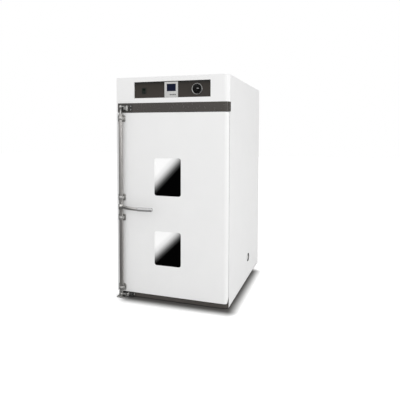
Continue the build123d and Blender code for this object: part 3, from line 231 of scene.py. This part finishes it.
def enamel(name, darker, lighter, roughness, peel):
    """Baked spray enamel with a slight variation and orange peel."""
    finish, tree, shader, place = new_finish(name)
    vary(tree, grain(tree, place, 6.0), darker, lighter, shader.inputs["Base Color"])
    vary(tree, grain(tree, place, 30.0), roughness - 0.03, roughness + 0.03, shader.inputs["Roughness"])
    emboss(tree, shader, grain(tree, place, 900.0, 1.0), peel, 0.0002)
    return finish


def dress(finish, *names):
    """Give CAD nodes their finish."""
    for name in names:
        mesh = nodes[name].data
        mesh.materials.clear()
        mesh.materials.append(finish)


white_enamel = enamel("white_enamel", (0.825, 0.825, 0.823), (0.838, 0.838, 0.836), 0.36, 0.03)
dress(white_enamel, "control_head_fascia", "right_side_panel", "left_side_panel", "top_panel", "back_panel",
      "door_outer_skin")

# Dark strips: the band under the head and the kick strip, in a grey-brown enamel.
dark_enamel = enamel("dark_enamel", (0.040, 0.034, 0.030), (0.045, 0.039, 0.034), 0.26, 0.003)
dress(dark_enamel, "upper_band")
kick_enamel = enamel("kick_enamel", (0.062, 0.055, 0.049), (0.068, 0.061, 0.055), 0.4, 0.01)
dress(kick_enamel, "plinth")
steel_black = enamel("black_steel", (0.028, 0.027, 0.026), (0.04, 0.039, 0.037), 0.5, 0.05)
dress(steel_black, "upper_hinge_bracket", "lower_hinge_bracket", "door_pivot_blocks")


# Chamber, front frame, inner door, ducts and deck: stainless sheet, ground with a belt,
# so fine lines run along it. Panels outside the hot space are dull galvanised sheet.
def ground_steel(name, darker, lighter, roughness, stretch, scale=160.0):
    """Metal with grinding lines drawn out along the axis whose stretch is small."""
    finish, tree, shader, place = new_finish(name)
    shader.inputs["Metallic"].default_value = 1.0
    lines = grain(tree, place, scale, 4.0, stretch)
    vary(tree, lines, darker, lighter, shader.inputs["Base Color"])
    vary(tree, lines, roughness - 0.06, roughness + 0.08, shader.inputs["Roughness"])
    emboss(tree, shader, lines, 0.06, 0.0003)
    return finish


stainless_dark, stainless_light = (0.52, 0.52, 0.51), (0.62, 0.62, 0.61)
stainless_along_y = ground_steel("stainless_along_y", stainless_dark, stainless_light, 0.32,
                                 (1.0, 0.04, 1.0))
dress(stainless_along_y, "chamber_liner", "fan_deck", "air_ducts")
stainless_upright = ground_steel("stainless_upright", stainless_dark, stainless_light, 0.3, (1.0, 1.0, 0.04))
dress(stainless_upright, "front_frame", "door_inner_panel", "exhaust_pipe", "damper_flap")
rod_steel = ground_steel("rod_steel", (0.5, 0.5, 0.49), (0.66, 0.66, 0.65), 0.24, (1.0, 0.2, 1.0), 90.0)
dress(rod_steel, "lower_shelf", "upper_shelf", "shelf_racks", "fan_shaft", "temperature_probe")
even = (1.0, 1.0, 1.0)
galvanised = ground_steel("galvanised", (0.4, 0.42, 0.43), (0.58, 0.6, 0.61), 0.45, even, 24.0)
dress(galvanised, "base_pan", "motor_mount", "impeller")
heater_sheath = ground_steel("heater_sheath", (0.16, 0.13, 0.11), (0.34, 0.29, 0.24), 0.4, even, 14.0)
dress(heater_sheath, "heater_elements")


# Mineral wool jacket: matted fibre board between the liner and the outer sheets.
def fibre_board(name, darker, lighter):
    """Matted mineral fibres."""
    finish, tree, shader, place = new_finish(name)
    fibres = grain(tree, place, 220.0, 6.0, (1.0, 0.3, 1.0))
    vary(tree, fibres, darker, lighter, shader.inputs["Base Color"])
    shader.inputs["Roughness"].default_value = 0.95
    emboss(tree, shader, fibres, 0.6, 0.002)
    return finish


wool = fibre_board("mineral_wool", (0.42, 0.36, 0.2), (0.66, 0.6, 0.4))
dress(wool, "cabinet_insulation", "door_insulation")


# Control panel: a dark satin plate behind the recess, with painted shade darkening it towards
# its top edge under the recess wall, and the controller, the rocker switch and the dial screwed into it.
def moulded(name, darker, lighter, roughness, relief=0.05, metallic=0.0, specular=0.5):
    """Moulded or painted plastic with a fine mould grain."""
    finish, tree, shader, place = new_finish(name)
    shader.inputs["Specular IOR Level"].default_value = specular
    vary(tree, grain(tree, place, 60.0), darker, lighter, shader.inputs["Base Color"])
    vary(tree, grain(tree, place, 240.0), roughness - 0.04, roughness + 0.04, shader.inputs["Roughness"])
    emboss(tree, shader, grain(tree, place, 1500.0, 1.0), relief, 0.0002)
    shader.inputs["Metallic"].default_value = metallic
    return finish


panel_finish, tree, shader, place = new_finish("panel_enamel")
height = tree.nodes.new("ShaderNodeSeparateXYZ")
tree.links.new(place, height.inputs[0])
painted_shade_height = tree.nodes.new("ShaderNodeMapRange")
painted_shade_height.inputs["From Min"].default_value = 1.697
painted_shade_height.inputs["From Max"].default_value = 1.848
tree.links.new(height.outputs["Z"], painted_shade_height.inputs["Value"])
# Painted shade: near black at the plate's top edge, lighter towards its bottom.
recess_painted_shade = tree.nodes.new("ShaderNodeValToRGB")
recess_painted_shade.color_ramp.elements[0].color = (0.040, 0.033, 0.028, 1.0)
recess_painted_shade.color_ramp.elements[1].color = (0.002, 0.002, 0.002, 1.0)
painted_shade_middle = recess_painted_shade.color_ramp.elements.new(0.72)
painted_shade_middle.color = (0.028, 0.023, 0.018, 1.0)
tree.links.new(painted_shade_height.outputs["Result"], recess_painted_shade.inputs[0])
tree.links.new(recess_painted_shade.outputs[0], shader.inputs["Base Color"])
vary(tree, grain(tree, place, 120.0), 0.42, 0.5, shader.inputs["Roughness"])
shader.inputs["Specular IOR Level"].default_value = 0.3
emboss(tree, shader, grain(tree, place, 1200.0, 1.0), 0.05, 0.0002)
dress(panel_finish, "control_panel_plate")

housing_silver = moulded("housing_silver", (0.50, 0.50, 0.49), (0.58, 0.58, 0.57), 0.36, 0.06, 0.2)
dress(housing_silver, "controller_housing")
display_window, tree, shader, place = new_finish("display_window")
vary(tree, grain(tree, place, 9.0), (0.003, 0.005, 0.014), (0.006, 0.009, 0.03), shader.inputs["Base Color"])
vary(tree, grain(tree, place, 40.0), 0.06, 0.12, shader.inputs["Roughness"])
shader.inputs["Specular IOR Level"].default_value = 0.06
dress(display_window, "controller_screen")
key_grey = moulded("key_grey", (0.018, 0.018, 0.022), (0.03, 0.03, 0.034), 0.5, 0.05, 0.0, 0.3)
dress(key_grey, "key_set", "key_shift", "key_down", "key_up")


# Small mouldings and turned parts are shaped from a block or a disc, then every sharp
# edge is broken, as it is on the real ones.
def select_only(piece):
    """Make one piece the only selected and active one."""
    bpy.ops.object.select_all(action="DESELECT")
    piece.select_set(True)
    bpy.context.view_layer.objects.active = piece


def settle(piece):
    """Put the piece's place and turn into its mesh."""
    select_only(piece)
    bpy.ops.object.transform_apply(location=True, rotation=True, scale=True)
    return piece


def block(name, low, high):
    """A block between two corners, in metres."""
    bpy.ops.object.select_all(action="DESELECT")
    middle = [(a + b) / 2 for a, b in zip(low, high)]
    bpy.ops.mesh.primitive_cube_add(size=1.0, location=middle)
    piece = bpy.context.object
    piece.name = name
    piece.scale = [b - a for a, b in zip(low, high)]
    return settle(piece)


def turned(name, centre, axis, profile, steps=48):
    """A turned part: radius and height pairs spun round an axis that starts at centre."""
    bpy.ops.object.select_all(action="DESELECT")
    mesh = bpy.data.meshes.new(name)
    points = [(radius, 0.0, along) for radius, along in profile]
    mesh.from_pydata(points, [(i, i + 1) for i in range(len(points) - 1)], [])
    piece = bpy.data.objects.new(name, mesh)
    bpy.context.scene.collection.objects.link(piece)
    select_only(piece)
    bpy.ops.object.mode_set(mode="EDIT")
    bpy.ops.mesh.select_all(action="SELECT")
    bpy.ops.mesh.spin(steps=steps, angle=2 * math.pi, center=(0.0, 0.0, 0.0), axis=(0.0, 0.0, 1.0))
    bpy.ops.mesh.select_all(action="SELECT")
    bpy.ops.mesh.remove_doubles(threshold=0.00001)
    bpy.ops.mesh.normals_make_consistent(inside=False)
    bpy.ops.object.mode_set(mode="OBJECT")
    piece.rotation_euler = Vector(axis).to_track_quat("Z", "Y").to_euler()
    piece.location = centre
    return settle(piece)


def break_edges(piece, width, segments=2, angle=35.0):
    """Round every edge sharper than the angle and smooth the faces."""
    select_only(piece)
    bevel = piece.modifiers.new("edges", "BEVEL")
    bevel.width = width
    bevel.segments = segments
    bevel.limit_method = "ANGLE"
    bevel.angle_limit = math.radians(angle)
    bpy.ops.object.modifier_apply(modifier="edges")
    bpy.ops.object.shade_smooth_by_angle(angle=math.radians(angle))
    return piece


def round_corners(piece, axis, width, segments=6):
    """Round the edges that run along one axis, such as a plate's corners."""
    select_only(piece)
    bpy.ops.object.mode_set(mode="EDIT")
    bpy.ops.mesh.select_mode(type="EDGE")
    bpy.ops.mesh.select_all(action="DESELECT")
    bpy.ops.object.mode_set(mode="OBJECT")
    for edge in piece.data.edges:
        a, b = (piece.data.vertices[i].co for i in edge.vertices)
        edge.select = abs((b - a).normalized()[axis]) > 0.99
    bpy.ops.object.mode_set(mode="EDIT")
    bpy.ops.mesh.bevel(offset=width, segments=segments)
    bpy.ops.object.mode_set(mode="OBJECT")
    return piece


def as_one(name, pieces):
    """Join pieces of one casting or one group."""
    bpy.ops.object.select_all(action="DESELECT")
    for piece in pieces:
        piece.select_set(True)
    bpy.context.view_layer.objects.active = pieces[0]
    bpy.ops.object.join()
    pieces[0].name = name
    return pieces[0]


def fit(piece, finish, body, slot, *replaced):
    """Finish a piece: its material, the body it moves with and the CAD nodes it stands for."""
    piece.data.materials.clear()
    piece.data.materials.append(finish)
    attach(piece, body)
    if replaced:
        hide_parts(*replaced)
    return piece


# Rocker switch: a black rocker with a rounded back in a snap-in frame, pressed at the top.
rocker_black = moulded("rocker_black", (0.006, 0.011, 0.008), (0.011, 0.018, 0.013), 0.22, 0.02, 0.0, 0.15)
dress(rocker_black, "power_rocker")
frame_black = moulded("frame_black", (0.010, 0.012, 0.010), (0.018, 0.020, 0.018), 0.42, 0.05, 0.0, 0.3)
dress(frame_black, "rocker_frame", "supply_gland")

# Dial: a thin metal bezel round a dark face with printed divisions, and a glossy
# fluted knob whose rib carries a white pointer line.
dial_x, dial_z, panel_y = 0.230, 1.771, -0.590
dial_silver = ground_steel("dial_silver", (0.34, 0.34, 0.33), (0.44, 0.44, 0.43), 0.3, even, 300.0)
bezel = turned("dial_bezel", (dial_x, panel_y, dial_z), (0.0, -1.0, 0.0), [
    (0.0400, 0.0), (0.0460, 0.0), (0.0460, 0.0012), (0.0445, 0.0030), (0.0425, 0.0030),
    (0.0412, 0.0022), (0.0400, 0.0022), (0.0400, 0.0),
], 96)
break_edges(bezel, 0.0001, 1, 60.0)
fit(bezel, dial_silver, "cabinet", "dial_silver", "dial_ring")
face_black = moulded("face_black", (0.010, 0.010, 0.010), (0.016, 0.016, 0.016), 0.4, 0.05, 0.0, 0.2)
face = turned("dial_face", (dial_x, panel_y, dial_z), (0.0, -1.0, 0.0), [
    (0.0050, 0.0), (0.0400, 0.0), (0.0400, 0.0020), (0.0050, 0.0020), (0.0050, 0.0),
], 72)
fit(break_edges(face, 0.0001, 1, 60.0), face_black, "cabinet", "black_plastic")
print_white = moulded("print_white", (0.70, 0.70, 0.69), (0.76, 0.76, 0.75), 0.5)
marks = []
dial_start, mark_step, mark_count = 240.0, 10.0, 31
for step in range(mark_count):
    long_mark = step % 3 == 0
    angle = math.radians(dial_start - step * mark_step)
    mark = block("mark", (0.0372 if long_mark else 0.0382, -0.0924, -0.0004), (0.0395, -0.0919, 0.0004))
    mark.data.transform(Matrix.Rotation(-angle, 4, "Y"))
    mark.data.transform(Matrix.Translation((dial_x, -0.5, dial_z)))
    marks.append(mark)
dial_marks = as_one("dial_marks", marks)
break_edges(dial_marks, 0.0001, 1)
fit(dial_marks, print_white, "cabinet", "key_plastic")

knob_black = moulded("knob_black", (0.003, 0.003, 0.003), (0.006, 0.006, 0.006), 0.24, 0.01, 0.0, 0.10)
knob = turned("dial_knob_turned", (dial_x, -0.5933, dial_z), (0.0, -1.0, 0.0), [
    (0.0, -0.030), (0.003, -0.030), (0.003, 0.0), (0.034, 0.0), (0.0358, 0.0015),
    (0.036, 0.003), (0.034, 0.0052), (0.0285, 0.0062), (0.0272, 0.008), (0.0262, 0.020),
    (0.0245, 0.0228), (0.021, 0.024), (0.010, 0.0236), (0.0, 0.0232),
], 72)
flute_inner, flute_outer, flutes, flute_depth = 0.0215, 0.0275, 18, 0.05
for vertex in knob.data.vertices:
    away = Vector((vertex.co.x - dial_x, 0.0, vertex.co.z - dial_z))
    if flute_inner < away.length < flute_outer:
        wave = 1.0 - flute_depth * (0.5 + 0.5 * math.cos(flutes * math.atan2(away.z, away.x)))
        vertex.co.x = dial_x + away.x * wave
        vertex.co.z = dial_z + away.z * wave
break_edges(knob, 0.0003, 1, 50.0)
pointer_rib = break_edges(block("pointer_rib", (dial_x - 0.020, -0.6215, dial_z - 0.004),
                                (dial_x + 0.0255, -0.6010, dial_z + 0.004)), 0.0012, 3)
dial_knob = as_one("dial_knob_moulded", [knob, pointer_rib])
fit(dial_knob, knob_black, "dial_knob", "black_plastic", "dial_knob")
pointer_line = break_edges(block("pointer_line", (dial_x + 0.010, -0.6222, dial_z - 0.0016),
                                 (dial_x + 0.0245, -0.6208, dial_z + 0.0016)), 0.0004, 1)
fit(pointer_line, print_white, "dial_knob", "key_plastic")


# Windows: two panes of tempered glass in each rim. The dark glass carries a painted reflection,
# pale at the upper left and fading to dark towards the lower right corner.
def window_glass(name, middle_z, half_height, roughness=0.06):
    """Dark pane with a painted reflection that runs diagonally across it, pale at the upper left."""
    finish, tree, shader, place = new_finish(name)
    apart = tree.nodes.new("ShaderNodeSeparateXYZ")
    tree.links.new(place, apart.inputs[0])
    side = tree.nodes.new("ShaderNodeMapRange")
    side.inputs["From Min"].default_value = -0.145
    side.inputs["From Max"].default_value = 0.093
    side.inputs["To Max"].default_value = 0.88
    rise = tree.nodes.new("ShaderNodeMapRange")
    rise.inputs["From Min"].default_value = middle_z + half_height
    rise.inputs["From Max"].default_value = middle_z - half_height
    rise.inputs["To Max"].default_value = 1.12
    total = tree.nodes.new("ShaderNodeMath")
    total.operation = "ADD"
    half = tree.nodes.new("ShaderNodeMath")
    half.operation = "MULTIPLY"
    half.inputs[1].default_value = 0.5
    tree.links.new(apart.outputs["X"], side.inputs["Value"])
    tree.links.new(apart.outputs["Z"], rise.inputs["Value"])
    tree.links.new(side.outputs["Result"], total.inputs[0])
    tree.links.new(rise.outputs["Result"], total.inputs[1])
    tree.links.new(total.outputs[0], half.inputs[0])
    # Painted reflection: pale at the upper left, fading to the dark glass towards the lower right.
    painted_reflection = tree.nodes.new("ShaderNodeValToRGB")
    painted_reflection.color_ramp.elements[0].position = 0.27
    painted_reflection.color_ramp.elements[0].color = (0.98, 0.98, 0.98, 1.0)
    painted_reflection.color_ramp.elements[1].position = 0.56
    painted_reflection.color_ramp.elements[1].color = (0.0006, 0.0006, 0.0006, 1.0)
    for position, shade in ((0.36, 0.78), (0.42, 0.46), (0.47, 0.18), (0.51, 0.05)):
        painted_reflection.color_ramp.elements.new(position).color = (shade, shade, shade, 1.0)
    tree.links.new(half.outputs[0], painted_reflection.inputs[0])
    tree.links.new(painted_reflection.outputs[0], shader.inputs["Base Color"])
    shader.inputs["Roughness"].default_value = roughness
    shader.inputs["Specular IOR Level"].default_value = 0.02
    return finish


dress(window_glass("upper_glass_painted_reflection", 1.048, 0.1585), "upper_window_glass")
dress(window_glass("lower_glass_painted_reflection", 0.445, 0.145), "lower_window_glass")
# The rims carry the same painted reflection as the panes.
dress(window_glass("upper_rim_painted_reflection", 1.048, 0.1585, 0.35), "upper_window_frame")
dress(window_glass("lower_rim_painted_reflection", 0.445, 0.145, 0.35), "lower_window_frame")
inner_trim_y = -0.528
for name in ("upper_window_frame", "lower_window_frame"):
    mesh = nodes[name].data
    mesh.materials.append(stainless_upright)
    for polygon in mesh.polygons:
        if polygon.center.y > inner_trim_y:
            polygon.material_index = 1
silicone_grey = moulded("silicone_grey", (0.26, 0.27, 0.27), (0.34, 0.35, 0.35), 0.7)
dress(silicone_grey, "door_gasket")

# Guides: four plated die castings, each a flat foot with a saddle that the lock bar
# turns in, held to the door by four screws.
cast_zinc = ground_steel("cast_zinc", (0.50, 0.495, 0.48), (0.62, 0.615, 0.60), 0.42, even, 70.0)
guide_places = (1.536, 0.862, 0.689, 0.082)
bar_x, bar_y, door_y = -0.446, -0.626, -0.600
guides = []
for guide_z in guide_places:
    foot = block("foot", (-0.4855, -0.604, guide_z - 0.029), (-0.4145, door_y, guide_z + 0.029))
    break_edges(round_corners(foot, 1, 0.012), 0.0012, 2, 50.0)
    collar = turned("collar", (bar_x, bar_y, guide_z), (0.0, 0.0, 1.0), [
        (0.01706, -0.013), (0.0208, -0.013), (0.0220, -0.0118), (0.0220, 0.0118),
        (0.0208, 0.013), (0.01706, 0.013), (0.01706, -0.013),
    ])
    break_edges(collar, 0.0001, 1, 60.0)
    cheeks = []
    for side in (-1, 1):
        near = bar_x + side * 0.01715
        far = bar_x + side * 0.0220
        cheek = block("cheek", (min(near, far), bar_y, guide_z - 0.013),
                      (max(near, far), -0.6035, guide_z + 0.013))
        cheeks.append(break_edges(cheek, 0.0008, 2))
    guides += [foot, collar, *cheeks]
bar_guides = as_one("bar_guides_cast", guides)
fit(bar_guides, cast_zinc, "door", "cast_zinc", "bar_guides")

screw_steel = ground_steel("screw_steel", (0.3, 0.3, 0.29), (0.5, 0.5, 0.49), 0.3, even, 200.0)


def cap_screw(name, x, z, face_y, radius, height, shank, reach):
    """A domed screw head with a hexagon socket, and its shank."""
    head = turned(name, (x, face_y, z), (0.0, -1.0, 0.0), [
        (0.0, -reach), (shank, -reach), (shank, 0.0), (radius, 0.0), (radius, height * 0.45),
        (radius * 0.92, height * 0.7), (radius * 0.72, height * 0.92), (radius * 0.5, height),
        (radius * 0.46, height * 0.35), (0.0, height * 0.35),
    ], 12)
    select_only(head)
    bpy.ops.object.shade_smooth_by_angle(angle=math.radians(40.0))
    return head


heads = []
for guide_z in guide_places:
    for x in (-0.479, -0.421):
        for rise in (-0.020, 0.020):
            heads.append(cap_screw("guide_screw", x, guide_z + rise, -0.604, 0.0055, 0.004, 0.003, 0.006))
guide_screws = as_one("guide_screws", heads)
fit(guide_screws, screw_steel, "door", "bright_steel", "guide_bolts")

# Lock bar: a plated tube the height of the door. The cams are castings plugged into
# its ends, with a cone, a spindle and a hooked arm that closes behind the keeper.
bar_plating = ground_steel("bar_plating", (0.46, 0.445, 0.43), (0.54, 0.525, 0.51), 0.30,
                           (1.0, 1.0, 0.03), 120.0)
dress(bar_plating, "lock_bar")


def cam(name, turned_profile, arm_low, arm_high, tip_low, tip_high):
    """A spindle with its arm and turned-down tip."""
    spindle = turned(name + "_spindle", (bar_x, bar_y, 0.0), (0.0, 0.0, 1.0), turned_profile)
    break_edges(spindle, 0.0004, 1, 50.0)
    arm = round_corners(block(name + "_arm", arm_low, arm_high), 2, 0.003, 3)
    break_edges(arm, 0.0010, 2, 50.0)
    tip = round_corners(block(name + "_tip", tip_low, tip_high), 2, 0.003, 3)
    break_edges(tip, 0.0010, 2, 50.0)
    return as_one(name, [spindle, arm, tip])


top_cam = cam("top_cam_cast", [
    (0.0, 1.536), (0.0144, 1.536), (0.0144, 1.566), (0.0170, 1.566), (0.0165, 1.572),
    (0.0080, 1.590), (0.0080, 1.622), (0.0132, 1.622), (0.0140, 1.6228), (0.0140, 1.6392),
    (0.0132, 1.640), (0.0080, 1.640), (0.0080, 1.645), (0.0072, 1.646), (0.0, 1.646),
], (bar_x, -0.634, 1.632), (-0.404, -0.618, 1.640), (-0.414, -0.634, 1.608), (-0.404, -0.618, 1.6395))
fit(top_cam, cast_zinc, "lock_bar", "cast_zinc", "top_cam")
bottom_cam = cam("bottom_cam_cast", [
    (0.0, 0.012), (0.0072, 0.012), (0.0080, 0.013), (0.0080, 0.016), (0.0132, 0.016),
    (0.0140, 0.0168), (0.0140, 0.0332), (0.0132, 0.034), (0.0080, 0.034), (0.0080, 0.038),
    (0.0165, 0.056), (0.0170, 0.062), (0.0144, 0.062), (0.0144, 0.092), (0.0, 0.092),
], (bar_x, -0.634, 0.026), (-0.404, -0.618, 0.034), (-0.414, -0.634, 0.018), (-0.404, -0.618, 0.0335))
fit(bottom_cam, cast_zinc, "lock_bar", "cast_zinc", "bottom_cam")

# Handle: a hub pinned on the bar, a plated rod bowed away from the door, and a smooth
# sleeve over its last part with a rounded end.
handle_z = 0.783


def bowed_rod(name, points, radius, steps=14):
    """A round rod along a smooth line through its points; each has its two handles."""
    bpy.ops.object.select_all(action="DESELECT")
    bpy.ops.curve.primitive_bezier_curve_add()
    rod = bpy.context.object
    rod.name = name
    spline = rod.data.splines[0]
    spline.bezier_points.add(len(points) - len(spline.bezier_points))
    for knot, (before, at, after) in zip(spline.bezier_points, points):
        knot.handle_left_type = knot.handle_right_type = "FREE"
        knot.handle_left = (*before, handle_z)
        knot.co = (*at, handle_z)
        knot.handle_right = (*after, handle_z)
    rod.data.resolution_u = steps
    rod.data.bevel_depth = radius
    rod.data.bevel_resolution = 8
    rod.data.use_fill_caps = True
    bpy.ops.object.convert(target="MESH")
    rod = bpy.context.object
    select_only(rod)
    bpy.ops.object.mode_set(mode="EDIT")
    bpy.ops.mesh.select_all(action="SELECT")
    bpy.ops.mesh.remove_doubles(threshold=0.00001)
    bpy.ops.mesh.dissolve_limited(angle_limit=math.radians(0.2))
    bpy.ops.mesh.normals_make_consistent(inside=False)
    bpy.ops.object.mode_set(mode="OBJECT")
    return rod


lever = bowed_rod("lever_rod", [
    ((-0.4400, -0.6254), (-0.4300, -0.6320), (-0.3798, -0.6649)),
    ((-0.3219, -0.6842), (-0.2620, -0.6880), (-0.2152, -0.6909)),
    ((-0.1770, -0.6896), (-0.1358, -0.6826), (-0.1258, -0.6807)),
], 0.0145, 20)
bpy.ops.object.shade_smooth_by_angle(angle=math.radians(40.0))
hub = break_edges(turned("hub", (bar_x, bar_y, handle_z), (0.0, 0.0, 1.0), [
    (0.01706, -0.023), (0.0200, -0.023), (0.0220, -0.0212), (0.0220, 0.0212),
    (0.0200, 0.023), (0.01706, 0.023), (0.01706, -0.023),
]), 0.0001, 1, 60.0)
root_boss = turned("root_boss", (-0.4305, -0.6316, handle_z), (0.8360, -0.5487, 0.0), [
    (0.0, 0.0045), (0.0172, 0.0045), (0.0172, 0.0090), (0.0160, 0.0120), (0.0, 0.0120),
])
break_edges(root_boss, 0.0008, 2, 40.0)
handle_lever = as_one("handle_lever_bent", [lever, hub, root_boss])
handle_plating = ground_steel("handle_plating", (0.52, 0.51, 0.50), (0.64, 0.63, 0.61), 0.12,
                              even, 60.0)
fit(handle_lever, handle_plating, "lock_bar", "bar_chrome", "handle_lever")

grip = bowed_rod("grip_sleeve", [
    ((-0.3219, -0.6842), (-0.2620, -0.6880), (-0.2152, -0.6909)),
    ((-0.1682, -0.6883), (-0.1220, -0.6800), (-0.1120, -0.6782)),
], 0.0170, 5)
break_edges(grip, 0.0120, 6, 50.0)
grip_silver = moulded("grip_silver", (0.54, 0.54, 0.54), (0.62, 0.62, 0.62), 0.2, 0.03, 0.85)
fit(grip, grip_silver, "lock_bar", "grip_silver", "handle_grip")

# Keepers: plated castings screwed to the dark strips, each a plate with an oval boss
# that a cam's tip closes beside. The lower one has a sill under the bar's end.
keeper_front = -0.603
top_plate = round_corners(block("top_plate", (-0.470, keeper_front, 1.596), (-0.352, door_y, 1.652)),
                          1, 0.006)
break_edges(top_plate, 0.0008, 2, 50.0)
top_boss = round_corners(block("top_boss", (-0.400, -0.629, 1.598), (-0.378, -0.602, 1.642)),
                         1, 0.0107, 8)
break_edges(top_boss, 0.0020, 3, 50.0)
fit(top_boss, cast_zinc, "cabinet", "cast_zinc", "top_keeper")
fit(top_plate, steel_black, "cabinet", "dark_steel")
sill_plate = round_corners(block("sill_plate", (-0.484, keeper_front, 0.004), (-0.332, door_y, 0.037)),
                           1, 0.004)
break_edges(sill_plate, 0.0008, 2, 50.0)
sill_boss = round_corners(block("sill_boss", (-0.400, -0.629, 0.013), (-0.378, -0.602, 0.035)),
                          1, 0.0055, 6)
break_edges(sill_boss, 0.0020, 3, 50.0)
stop_block = block("stop_block", (-0.374, -0.619, 0.012), (-0.348, -0.602, 0.036))
break_edges(stop_block, 0.0020, 3)
sill = round_corners(block("sill", (-0.484, -0.652, 0.004), (-0.396, -0.601, 0.008)), 2, 0.010)
break_edges(sill, 0.0010, 2, 50.0)
bottom_keeper = as_one("bottom_keeper_cast", [sill_boss, sill])
fit(bottom_keeper, cast_zinc, "cabinet", "cast_zinc", "bottom_keeper")
fit(as_one("bottom_keeper_plate", [sill_plate, stop_block]), steel_black, "cabinet", "dark_steel")
keeper_screw_places = ((-0.362, 1.636), (-0.362, 1.608), (-0.462, 1.608), (-0.337, 0.024), (-0.476, 0.024))
keeper_heads = [cap_screw("keeper_screw", x, z, keeper_front, 0.007, 0.005, 0.004, 0.005)
                for x, z in keeper_screw_places]
fit(as_one("keeper_screws", keeper_heads), screw_steel, "cabinet", "bright_steel", "keeper_bolts")

# Blower motor: an enamelled finned body on the mount above the insulation.
motor_enamel = enamel("motor_enamel", (0.07, 0.085, 0.11), (0.1, 0.115, 0.145), 0.45, 0.08)
dress(motor_enamel, "blower_motor")

# Feet of moulded rubber; the port's dark sleeve and its white silicone plug.
rubber_black = moulded("rubber_black", (0.014, 0.014, 0.014), (0.026, 0.026, 0.025), 0.75, 0.15)
dress(rubber_black, "leveling_feet")
port_black = moulded("port_black", (0.008, 0.008, 0.008), (0.014, 0.014, 0.014), 0.5, 0.05, 0.0, 0.2)
dress(port_black, "port_tube")
silicone_white = moulded("silicone_white", (0.78, 0.78, 0.77), (0.83, 0.83, 0.82), 0.6, 0.1)
dress(silicone_white, "port_plug")
